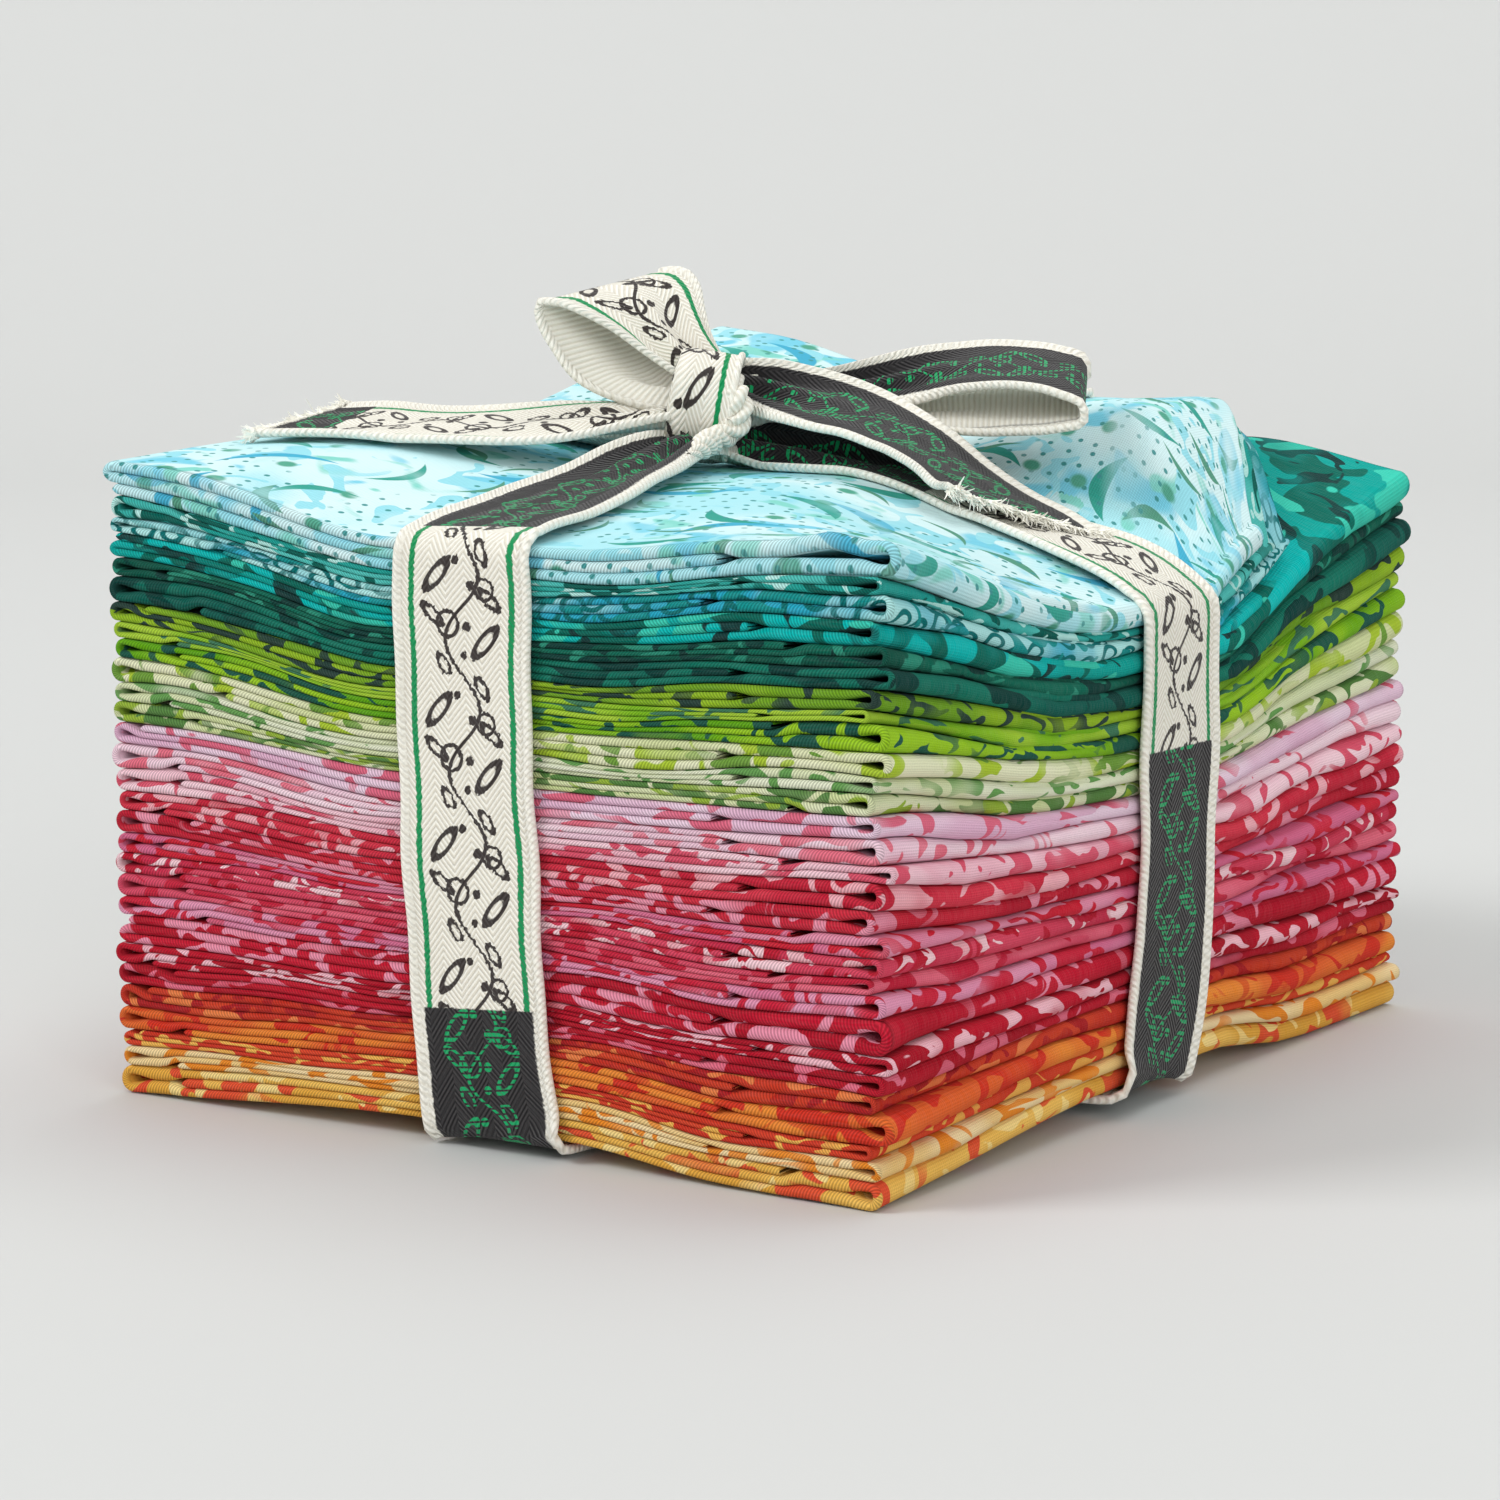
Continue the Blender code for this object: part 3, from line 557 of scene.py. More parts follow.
class Graph:
    """Builds a material's nodes. Numbers and sockets can be given alike."""

    def __init__(self, name):
        self.material = bpy.data.materials.new(name)
        self.material.use_nodes = True
        self.tree = self.material.node_tree
        self.shader = self.tree.nodes["Principled BSDF"]

    def node(self, kind, inputs=(), **settings):
        made = self.tree.nodes.new(kind)
        for key, value in settings.items():
            setattr(made, key, value)
        for key, value in dict(inputs).items():
            self.feed(made.inputs[key], value)
        return made

    def feed(self, socket, value):
        if isinstance(value, bpy.types.NodeSocket):
            self.tree.links.new(value, socket)
        else:
            socket.default_value = value

    def math(self, operation, *values):
        return self.node("ShaderNodeMath", dict(enumerate(values)), operation=operation).outputs[0]

    def vector(self, operation, *values):
        made = self.node("ShaderNodeVectorMath", dict(enumerate(values)), operation=operation)
        return made.outputs["Value"] if operation in ("LENGTH", "DOT_PRODUCT") else made.outputs[0]

    def mix(self, factor, low, high):
        made = self.node("ShaderNodeMix", data_type="RGBA")
        self.feed(made.inputs[0], factor)
        self.feed(made.inputs[6], low)
        self.feed(made.inputs[7], high)
        return made.outputs[2]

    def step(self, value, low, high):
        """0 below low and 1 above high, smooth between."""
        made = self.node("ShaderNodeMapRange", {0: value, 1: low, 2: high}, interpolation_type="SMOOTHSTEP")
        return made.outputs[0]

    def noise(self, place, scale, detail=2.0, distortion=0.0, flat=True):
        inputs = {"Vector": place, "Scale": scale, "Detail": detail, "Distortion": distortion}
        made = self.node("ShaderNodeTexNoise", inputs, noise_dimensions="2D" if flat else "3D")
        return made.outputs[0]

    def place(self, width, length):
        """Millimetres along and across the flat cloth."""
        held = self.node("ShaderNodeUVMap", uv_map="OFBake").outputs[0]
        return self.vector("MULTIPLY", held, (width, length, 0.0))

    def shift(self, place, seed):
        return self.vector("ADD", place, (seed * 37.1 % 100, seed * 53.7 % 100, 0.0))


def leaf_mask(graph, place, size, share, seed):
    """Curved blades scattered over the cloth, each in its own direction and tapering at both ends."""
    moved = graph.shift(place, seed)
    cells = graph.node("ShaderNodeTexVoronoi", {"Vector": moved, "Scale": 1 / size, "Randomness": 0.3}, voronoi_dimensions="2D")
    from_seed = graph.vector("SUBTRACT", moved, cells.outputs["Position"])
    away = graph.vector("MULTIPLY", from_seed, (1 / size, 1 / size, 0.0))
    parts = graph.node("ShaderNodeSeparateColor", {0: cells.outputs["Color"]})
    angle = graph.math("MULTIPLY", parts.outputs[0], 2 * pi)
    turned = graph.node("ShaderNodeVectorRotate", {"Vector": away, "Angle": angle}, rotation_type="Z_AXIS")
    split = graph.node("ShaderNodeSeparateXYZ", {0: turned.outputs[0]})
    x, y = split.outputs[0], split.outputs[1]
    square = graph.math("MULTIPLY", x, x)
    bent = graph.math("SUBTRACT", graph.math("ADD", y, 0.06), graph.math("MULTIPLY", square, 1.3))
    taper = graph.math("MAXIMUM", graph.math("SUBTRACT", 1.0, graph.math("MULTIPLY", square, 7.7)), 0.0)
    fullness = graph.math("ADD", 0.04, graph.math("MULTIPLY", parts.outputs[2], 0.05))
    inside = graph.math("SUBTRACT", graph.math("MULTIPLY", taper, fullness), graph.math("ABSOLUTE", bent))
    shape = graph.step(inside, -0.003, 0.009)
    chosen = graph.math("LESS_THAN", parts.outputs[1], share)
    return graph.math("MULTIPLY", shape, chosen)


def dot_mask(graph, place, size, share, seed):
    """Small dots in loose rows."""
    cells = graph.node(
        "ShaderNodeTexVoronoi",
        {"Vector": graph.shift(place, seed), "Scale": 1 / size, "Randomness": 0.6},
        voronoi_dimensions="2D",
    )
    near = graph.step(cells.outputs["Distance"], share + 0.03, share - 0.03)
    where = graph.step(graph.noise(graph.shift(place, seed + 3), 0.03, 1.0), 0.4, 0.44)
    return graph.math("MULTIPLY", near, where)


def ring_mask(graph, place, size, share, seed):
    """Wax rings."""
    cells = graph.node(
        "ShaderNodeTexVoronoi",
        {"Vector": graph.shift(place, seed), "Scale": 1 / size, "Randomness": 0.5},
        voronoi_dimensions="2D",
    )
    off = graph.math("ABSOLUTE", graph.math("SUBTRACT", cells.outputs["Distance"], share))
    return graph.step(off, 0.11, 0.07)


def patch_mask(graph, place, size, share, seed):
    """Batik shapes with crisp edges."""
    moved = graph.shift(place, seed)
    field = graph.noise(moved, 1 / size, 1.2, 0.7)
    level = 0.5 + (0.5 - share) * 0.34
    return graph.step(field, level, level + 0.016)


def wash_mask(graph, place, size, share, seed):
    """Soft-edged pools of dye."""
    field = graph.noise(graph.shift(place, seed), 1 / size, 1.5, 0.5)
    level = 0.5 + (0.5 - share) * 0.34
    return graph.step(field, level - 0.03, level + 0.07)


MASKS = {"leaves": leaf_mask, "dots": dot_mask, "rings": ring_mask, "patches": patch_mask, "washes": wash_mask}


def cotton(name, dye, number, width, length):
    """Batik cotton: mottled dye, crisp prints, and its weave: ribs for the bump and painted shade in the gaps."""
    graph = Graph(name)
    place = graph.place(width, length)
    mottle = graph.step(graph.noise(graph.shift(place, number), 0.022, 3.0, 0.4), 0.4, 0.62)
    colour = graph.mix(mottle, dye.ground, dye.second)
    for index, item in enumerate(dye.prints):
        mask = MASKS[item.kind](graph, place, item.size, item.share, number * 7 + index * 13)
        thin = graph.math("MULTIPLY", mask, graph.step(graph.noise(graph.shift(place, number + 5), 0.05, 2.0), 0.1, 0.5))
        colour = graph.mix(thin, colour, item.colour)
    slub = graph.noise(graph.vector("MULTIPLY", place, (0.5, 6.0, 0.0)), 0.5, 2.0)
    shade = graph.step(slub, 0.25, 0.75)
    colour = graph.mix(graph.math("MULTIPLY", shade, 0.02), colour, (1.0, 1.0, 1.0, 1.0))
    weave_gap_shade, ribs = weave(graph, place)
    # Painted shade: the gaps of the weave are darkened towards near-black.
    colour = graph.mix(weave_gap_shade, colour, (0.0, 0.005, 0.005, 1.0))
    bump = graph.node("ShaderNodeBump", {"Strength": 0.5, "Distance": 0.0002, "Height": ribs})
    graph.feed(graph.shader.inputs["Base Color"], colour)
    graph.feed(graph.shader.inputs["Normal"], bump.outputs[0])
    graph.shader.inputs["Roughness"].default_value = 0.85
    graph.shader.inputs["Sheen Weight"].default_value = 0.01
    graph.shader.inputs["Specular IOR Level"].default_value = 0.03
    return graph.material


def weave(graph, place):
    """Fine ribs along the folds, and slanting ones round the narrow edges. Gives painted shade for the gaps between the
    yarns, deeper on the folded beads, and height.
    """
    split = graph.node("ShaderNodeSeparateXYZ", {0: place})
    x, y = split.outputs[0], split.outputs[1]
    straight = graph.math("SINE", graph.math("MULTIPLY", x, 2 * pi / 0.5))
    cross = graph.math("SINE", graph.math("MULTIPLY", y, 2 * pi / 0.5))
    slant = graph.math("SINE", graph.math("MULTIPLY", graph.math("ADD", x, graph.math("MULTIPLY", y, 0.5)), 2 * pi / 0.6))
    plain = graph.math("ADD", graph.math("MULTIPLY", straight, 0.6), graph.math("MULTIPLY", cross, 0.4))
    edge = graph.node("ShaderNodeAttribute", attribute_name="bead").outputs["Fac"]
    pattern = graph.math("ADD", graph.math("MULTIPLY", slant, edge), graph.math("MULTIPLY", plain, graph.math("SUBTRACT", 1.0, edge)))
    height = graph.math("ADD", graph.math("MULTIPLY", pattern, 0.5), 0.5)
    # Painted shade for the gaps of the weave, stronger on the beads.
    gaps = graph.math("MULTIPLY", graph.math("SUBTRACT", 1.0, height), graph.math("ADD", 0.16, graph.math("MULTIPLY", edge, 0.28)))
    return gaps, height


# The ribbon. A stop is the middle of its width, the direction across and half the width there.
RIBBON = 26.0
FULL = RIBBON / 2
BUNCHED = 7.0
TIED = 5.0
FACE_X = SIDE_X + 0.4
FACE_Y = SIDE_Y + 0.4
ALONG_X = (1.0, 0.0, 0.0)
ALONG_Y = (0.0, 1.0, 0.0)
BODY = 0.75
EDGE_RADIUS = 0.78
RIBBON_STEP = 1.6
SLANT_LENGTH = 34.0

BAND_X = (
    (0, -3.0, 3.2, ALONG_Y, FULL),
    (45, -5.0, 3.6, ALONG_Y, FULL),
    (72.6, -6.6, 4.2, ALONG_Y, FULL),
    (FACE_X - 0.4, -6.2, 5.2, ALONG_Y, FULL),
    (FACE_X, -5.5, 7.2, ALONG_Y, FULL),
    (FACE_X, -2.0, 20.0, ALONG_Y, FULL),
    (FACE_X, 0.4, 48.0, ALONG_Y, FULL),
    (FACE_X, 0.6, 79.5, ALONG_Y, FULL),
    (FACE_X - 0.5, 0.6, 82.6, ALONG_Y, FULL),
    (72.6, 0.5, 84.3, ALONG_Y, FULL),
    (45, -0.5, 94.8, ALONG_Y, 12.0),
    (20, -4.4, 102.0, (0.0, 0.94, 0.3), 9.0),
    (4, -7.0, 104.8, (0.0, 0.78, 0.6), 6.5),
    (-12, -7.5, 105.6, (0.0, 0.94, 0.3), TIED),
    (-30, -3.5, 105.0, ALONG_Y, 9.0),
    (-60, 0.0, 107.5, ALONG_Y, FULL),
    (-72.4, 0.0, 107.8, ALONG_Y, FULL),
    (-FACE_X + 0.5, 0.0, 106.4, ALONG_Y, FULL),
    (-FACE_X, 0.0, 103.6, ALONG_Y, FULL),
    (-FACE_X, 0.0, 7.0, ALONG_Y, FULL),
    (-FACE_X + 0.4, 0.0, 4.6, ALONG_Y, FULL),
    (-72.6, 0.0, 3.5, ALONG_Y, FULL),
    (-45, -1.0, 3.4, ALONG_Y, FULL),
)
BAND_Y = (
    (2.0, 15, 1.9, ALONG_X, FULL),
    (2.6, -23, 1.9, ALONG_X, FULL),
    (3.4, -88.9, 2.5, ALONG_X, FULL),
    (3.2, -FACE_Y + 0.3, 3.1, ALONG_X, FULL),
    (2.8, -FACE_Y, 5.2, ALONG_X, FULL),
    (-0.8, -FACE_Y, 46.0, ALONG_X, FULL),
    (-2.0, -FACE_Y, 90.0, ALONG_X, FULL),
    (-2.0, -FACE_Y - 0.1, 94.4, ALONG_X, FULL),
    (-2.0, -FACE_Y + 1.1, 96.5, ALONG_X, FULL),
    (-2.3, -FACE_Y + 4.2, 97.3, ALONG_X, FULL),
    (-3.2, -70.0, 99.4, ALONG_X, 12.3),
    (-5.4, -45.0, 102.9, ALONG_X, 10.0),
    (-7.4, -21.0, 106.0, ALONG_X, 5.8),
    (-8.4, -10.0, 104.6, ALONG_X, 4.2),
    (-6.0, 15.0, 102.6, ALONG_X, BUNCHED),
    (-3.0, 52.0, 108.1, ALONG_X, FULL),
    (-2.0, FACE_Y - 7.0, 110.0, ALONG_X, FULL),
    (-2.0, FACE_Y - 3.4, 109.2, ALONG_X, FULL),
    (-2.0, FACE_Y - 0.9, 106.8, ALONG_X, FULL),
    (-2.0, FACE_Y, 103.0, ALONG_X, FULL),
    (1.0, FACE_Y, 5.8, ALONG_X, FULL),
    (1.0, FACE_Y - 0.4, 3.8, ALONG_X, FULL),
    (1.0, 88.9, 2.8, ALONG_X, FULL),
    (1.6, 52, 2.5, ALONG_X, FULL),
)
LEFT_ACROSS = (0.44, 0.88, 0.18)
LEFT_LOOP = (
    (-10.0, -10, 116.6, LEFT_ACROSS, TIED),
    (-16.7, -10, 122.5, LEFT_ACROSS, 7.8),
    (-20.8, -10, 127.0, LEFT_ACROSS, 10.0),
    (-24.2, -10, 130.2, LEFT_ACROSS, 12.0),
    (-28.7, -10, 132.2, LEFT_ACROSS, FULL),
    (-31.8, -10, 132.2, LEFT_ACROSS, FULL),
    (-32.6, -10, 130.6, LEFT_ACROSS, FULL),
    (-31.8, -10, 128.0, LEFT_ACROSS, FULL),
    (-29.6, -10, 124.6, LEFT_ACROSS, 12.6),
    (-25.0, -10, 119.2, LEFT_ACROSS, 11.4),
    (-18.6, -10, 115.8, LEFT_ACROSS, 8.5),
    (-10.5, -10, 113.8, LEFT_ACROSS, TIED),
)
RIGHT_ACROSS = (0.45, -0.84, -0.25)
RIGHT_LOOP = (
    (-6.0, -6.5, 112.6, (0.35, -0.65, -0.5), 4.4),
    (1.0, 3.5, 113.4, (0.38, -0.7, -0.5), 5.2),
    (8.0, 12.5, 114.6, (0.4, -0.76, -0.45), 7.2),
    (15.0, 18.0, 116.7, (0.43, -0.82, -0.36), 9.4),
    (24.0, 19.2, 118.6, RIGHT_ACROSS, 12.0),
    (34.0, 19.6, 119.2, RIGHT_ACROSS, FULL),
    (41.4, 20.6, 118.2, RIGHT_ACROSS, FULL),
    (45.2, 22.0, 116.4, RIGHT_ACROSS, FULL),
    (45.4, 22.0, 114.2, RIGHT_ACROSS, FULL),
    (41.4, 20.6, 112.8, RIGHT_ACROSS, FULL),
    (32.0, 19.0, 112.0, RIGHT_ACROSS, 12.4),
    (22.0, 17.4, 111.2, RIGHT_ACROSS, 10.0),
    (13.0, 14.5, 110.4, RIGHT_ACROSS, 7.6),
    (5.0, 8.0, 111.0, RIGHT_ACROSS, 5.2),
    (-6.0, -5.5, 111.4, RIGHT_ACROSS, 3.4),
)
LEFT_TAIL = (
    (-9, -11, 111.5, (-0.4, 0.9, 0.25), TIED),
    (-21, -20, 110.4, (-0.45, 0.88, 0.24), 8.5),
    (-34, -29, 109.4, (-0.5, 0.86, 0.2), 12.0),
    (-48, -36.5, 109.2, (-0.5, 0.86, 0.15), FULL),
    (-60, -43, 109.6, (-0.5, 0.86, 0.15), FULL),
    (-74, -50.5, 109.9, (-0.5, 0.86, 0.15), FULL),
)
FRONT_TAIL = (
    (-6.5, -7.0, 115.8, (0.0, -0.92, -0.36), TIED),
    (-2.0, -5.5, 115.4, (0.0, -0.92, -0.38), 7.0),
    (3.5, -4.6, 114.4, (0.0, -0.94, -0.34), 9.3),
    (9.0, -4.4, 113.4, (0.0, -0.95, -0.26), 11.2),
    (14.1, -4.2, 112.1, (0.0, -0.975, -0.18), 12.4),
    (20.0, -4.0, 110.4, (0.0, -0.99, -0.08), FULL),
    (26.1, -4.0, 108.0, (0.0, -1.0, -0.02), FULL),
    (34.9, -4.0, 103.2, (0.0, -1.0, 0.05), FULL),
    (44.0, -4.0, 98.4, (0.0, -1.0, 0.04), FULL),
    (51.0, -4.0, 95.0, (0.0, -1.0, 0.02), FULL),
    (56.0, -4.4, 92.2, (0.0, -1.0, 0.02), FULL),
)
# The twisted edge that comes out under the wrap and runs down into the left band
CORD = (
    (-2.8, -13.2, 116.4),
    (-1.1, -14.4, 114.8),
    (-0.4, -14.8, 112.6),
    (-0.7, -15.4, 109.8),
    (-2.0, -17.2, 108.2),
    (-2.4, -20.5, 107.5),
    (-1.0, -26.0, 106.6),
    (0.6, -32.0, 105.6),
)
CORD_STRANDS = 3
CORD_RADIUS = 1.2
CORD_TWIST = 9.0
KNOT_RADII = np.array([5.6, 5.2, 5.8])
KNOT_MIDDLE = np.array([-8.0, -9.5, 111.2])
WRAP_ACROSS = np.array([0.84, 0.48, -0.16]) / np.linalg.norm([0.84, 0.48, -0.16])
WRAP_LEVEL = 5.9
WRAP_UPRIGHT = 6.6
WRAP_BOTTOM = 4.7
WRAP_RISE = 1.6
WRAP_SHIFT = np.array([-2.3, -1.5, -0.5])
WRAP_FACE = 10.0
WRAP_ROLL = 1.2
WRAP_EDGE = 5.8


def smooth_stops(stops, closed):
    """Evenly spaced places, directions across and half widths along a smooth line through the stops."""
    table = np.array([[*stop[:3], *stop[3], stop[4]] for stop in stops], float)
    if closed:
        table = np.concatenate([table[-2:], table, table[:3]])
    steps = np.linalg.norm(np.diff(table[:, :3], axis=0), axis=1)
    at = np.concatenate([[0.0], np.cumsum(steps)])
    rate = np.diff(table, axis=0) / steps[:, None]
    weight = steps[1:, None] + steps[:-1, None]
    inner = (rate[:-1] * steps[1:, None] + rate[1:] * steps[:-1, None]) / weight
    steepest = 3 * np.minimum(np.abs(rate[:-1]), np.abs(rate[1:]))
    inner = np.clip(inner, -steepest, steepest)
    slope = np.concatenate([rate[:1], inner, rate[-1:]])
    first, last = (at[2], at[-3]) if closed else (at[0], at[-1])
    count = max(int((last - first) / RIBBON_STEP), 6)
    where = np.linspace(first, last, count + 1)
    i = np.clip(np.searchsorted(at, where, side="right") - 1, 0, len(at) - 2)
    step = steps[i][:, None]
    t = ((where - at[i]) / steps[i])[:, None]
    square, cube = t * t, t * t * t
    out = (
        (2 * cube - 3 * square + 1) * table[i]
        + (cube - 2 * square + t) * step * slope[i]
        + (3 * square - 2 * cube) * table[i + 1]
        + (cube - square) * step * slope[i + 1]
    )
    if closed:
        out = out[:-1]
    return out[:, :3], out[:, 3:6], out[:, 6]


def ribbon_section():
    """The ribbon's section as (across, out) in millimetres: a thin web with a round cord at each edge."""
    reach = FULL - 2 * EDGE_RADIUS
    outer = [(a, BODY) for a in np.linspace(-reach, reach, 17)]
    inner = [(a, 0.12) for a in np.linspace(reach, -reach, 11)]
    middle = FULL - EDGE_RADIUS
    angles = np.linspace(radians(125), radians(-125), 7)
    right = [(middle + EDGE_RADIUS * cos(a), EDGE_RADIUS * (1 + sin(a)) - 0.1) for a in angles]
    left = [(-x, y) for x, y in right[::-1]]
    return outer + right + inner + left, len(outer) + len(right)


def rolled_section(a, out):
    """The wrap's section: flat from its right edge, then rolled under at the left and back inside."""
    across = FULL - a
    angle = np.clip((across - WRAP_FACE) / WRAP_ROLL, 0, pi)
    under = np.maximum(across - WRAP_FACE - pi * WRAP_ROLL, 0) * 0.78
    reach = WRAP_EDGE - np.minimum(across, WRAP_FACE) - (WRAP_ROLL + out) * np.sin(angle) + under
    lift = -WRAP_ROLL * (1 - np.cos(angle)) + out * np.cos(angle)
    return reach, lift


def ribbon_strip(name, stops, closed=False, dark=(), clear=None, skew=0.0, creases=3.0, sheared=False, rolled=False):
    """One length of ribbon as a closed mesh. Dark ranges are charcoal, in millimetres along it.

    Clear is how far it stays above the top cloth, skew how much its cut end slants."""
    places, across, halves = smooth_stops(stops, closed)
    count = len(places)
    if closed:
        tangent = np.roll(places, -1, axis=0) - np.roll(places, 1, axis=0)
    else:
        tangent = np.gradient(places, axis=0)
    tangent /= np.linalg.norm(tangent, axis=1)[:, None]
    if not sheared:
        across = across - (across * tangent).sum(1)[:, None] * tangent
    across /= np.linalg.norm(across, axis=1)[:, None]
    outward = np.cross(across, tangent)
    outward /= np.linalg.norm(outward, axis=1)[:, None]
    section, split = ribbon_section()
    section = np.array(section)
    a, out = section[:, 0], section[:, 1]
    bunch = 1 - halves / FULL
    rng = np.random.default_rng(SEED + len(name))
    step = np.linalg.norm(np.roll(places, -1, axis=0) - places, axis=1)
    along = np.concatenate([[0.0], np.cumsum(step[:-1])])
    total = along[-1] + (step[-1] if closed else 0.0)
    ripple = np.cos(a[None, :] * pi / FULL * 2.5 + 0.8) * bunch[:, None] * creases
    wave = 0.25 * np.sin(along * 2 * pi / 37 + rng.uniform(0, 6))[:, None] * (a / FULL)[None, :]
    lift = out[None, :] + ripple + wave + (0 if closed else -BODY / 2)
    wander = 0.18 * np.sin(along * 2 * pi / 21 + 1)[:, None] * np.sign(a)[None, :]
    reach = a[None, :] * (halves / FULL)[:, None] + wander
    if rolled:
        section_reach, section_lift = rolled_section(a, out)
        reach = section_reach[None, :] + wander * 0.3
        lift = section_lift[None, :] + 0.25 * np.sin(along * 2 * pi / 9)[:, None] * np.cos(a / 2.6)[None, :]
    spots = places[:, None] + reach[..., None] * across[:, None] + lift[..., None] * outward[:, None]
    if skew:
        slant = np.clip((along - along[-1]) / SLANT_LENGTH + 1, 0, 1)[:, None] * (np.sign(skew) * a[None, :] / FULL - 1) / 2
        spots += (slant * abs(skew))[..., None] * tangent[:, None]
        spots[-1] += (rng.uniform(-0.5, 0.5, len(a))[:, None]) * tangent[-1]
    if clear is not None:
        x, y, z = spots[..., 0], spots[..., 1], spots[..., 2]
        rest = surface(TOP, x, y) + crown(x, y) + clear + out[None, :]
        inside = (np.abs(x) < SIDE_X - 1.0) & (np.abs(y) < SIDE_Y - 1.0) & (z > 70)
        spots[..., 2] = np.where(inside, np.maximum(z, rest), z)
    u = np.concatenate([along, [total]]) if closed else along
    v = np.concatenate([np.linspace(0, 0.5, split, endpoint=False), np.linspace(0.5, 1, len(a) - split + 1)])
    maps = np.stack(np.meshgrid(u / total, v, indexing="ij"), -1)
    piece = grid_piece(name, spots, maps, closed_along=closed, closed_across=True)
    if not closed:
        cap(piece, count, len(a))
    across_mm = np.ones(count)[:, None] * (a[None, :] + FULL)
    mark(piece, "across", across_mm)
    piece.data.materials.append(ribbon_cloth(name, total, dark))
    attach(piece, "root")
    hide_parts("ribbon")
    return spots


def cap(piece, count, ring):
    """Closes both ends of a strip."""
    mesh = piece.data
    import bmesh
    bm = bmesh.new()
    bm.from_mesh(mesh)
    bm.verts.ensure_lookup_table()
    for start in (0, (count - 1) * ring):
        bm.faces.new([bm.verts[start + k] for k in range(ring)])
    bmesh.ops.recalc_face_normals(bm, faces=bm.faces)
    bm.to_mesh(mesh)
    bm.free()


CREAM = rgb(240, 238, 228)
# Painted shade: CREAM_SHADE is the cream darkened for the grooves between ribs.
CREAM_SHADE = rgb(214, 208, 192)
FUZZ = rgb(250, 248, 240)
CHARCOAL = rgb(53, 51, 52)
# Painted shade: CHARCOAL_SHADE is the charcoal darkened for the grooves between ribs.
CHARCOAL_SHADE = rgb(30, 29, 31)
GREEN = rgb(14, 140, 82)
GREEN_THREAD = rgb(18, 158, 96)
INK = rgb(58, 52, 50)


def between(graph, value, low, high, soft=0.12):
    """1 where a value lies between two numbers."""
    above = graph.step(value, low - soft, low + soft)
    below = graph.step(value, high + soft, high - soft)
    return graph.math("MULTIPLY", above, below)


def oval(graph, x, y, middle, radii, slope=0.0):
    """A soft-edged oval, slanted by a slope."""
    x = graph.math("SUBTRACT", x, middle[0])
    y = graph.math("SUBTRACT", y, middle[1])
    along = graph.math("DIVIDE", graph.math("ADD", x, graph.math("MULTIPLY", y, slope)), radii[0] * (1 + slope**2) ** 0.5)
    across = graph.math("DIVIDE", graph.math("SUBTRACT", y, graph.math("MULTIPLY", x, slope)), radii[1] * (1 + slope**2) ** 0.5)
    return graph.math("ADD", graph.math("MULTIPLY", along, along), graph.math("MULTIPLY", across, across))


SPRIG = (
    ((-6.0, 4.6), (3.4, 1.25), 0.9),
    ((5.6, -4.6), (3.4, 1.25), 0.9),
    ((1.6, 5.2), (2.6, 1.0), -1.2),
    ((-1.4, -5.4), (2.6, 1.0), -1.2),
    ((-10.4, -3.6), (2.2, 0.95), -0.6),
    ((9.8, 3.8), (2.2, 0.95), -0.6),
    ((-3.4, 1.0), (0.8, 0.8), 0.0),
    ((4.0, 1.6), (0.8, 0.8), 0.0),
    ((-8.6, 0.4), (0.7, 0.7), 0.0),
    ((8.4, -1.0), (0.7, 0.7), 0.0),
)
CURLS = (((-3.0, -2.6), 2.0), ((3.4, 4.2), 1.7))


def vine(graph, along, across, size, weight):
    """A winding stem with leaves, berries and curls on both sides, as a mask."""
    turn = graph.math("MULTIPLY", along, 2 * pi / size)
    y = graph.math("SUBTRACT", across, FULL)
    stem_line = graph.math("MULTIPLY", graph.math("SINE", turn), 3.2)
    off = graph.math("ABSOLUTE", graph.math("SUBTRACT", y, stem_line))
    mask = graph.step(off, 0.56 * weight, 0.34 * weight)
    x = graph.math("WRAP", along, size / 2, -size / 2)
    scale = size / 24.0
    for middle, radii, slope in SPRIG:
        far = oval(graph, x, y, (middle[0] * scale, middle[1]), radii, slope)
        if radii[0] > 1:
            outline = graph.math("ABSOLUTE", graph.math("SUBTRACT", far, 0.8))
            shape = graph.step(outline, 0.66 * weight, 0.44 * weight)
        else:
            shape = graph.step(far, 1.2, 0.85)
        mask = graph.math("MAXIMUM", mask, shape)
    for middle, radius in CURLS:
        far = oval(graph, x, y, (middle[0] * scale, middle[1]), (radius, radius))
        ring = graph.math("ABSOLUTE", graph.math("SUBTRACT", far, 1.0))
        mask = graph.math("MAXIMUM", mask, graph.step(ring, 0.46 * weight, 0.3 * weight))
    return mask


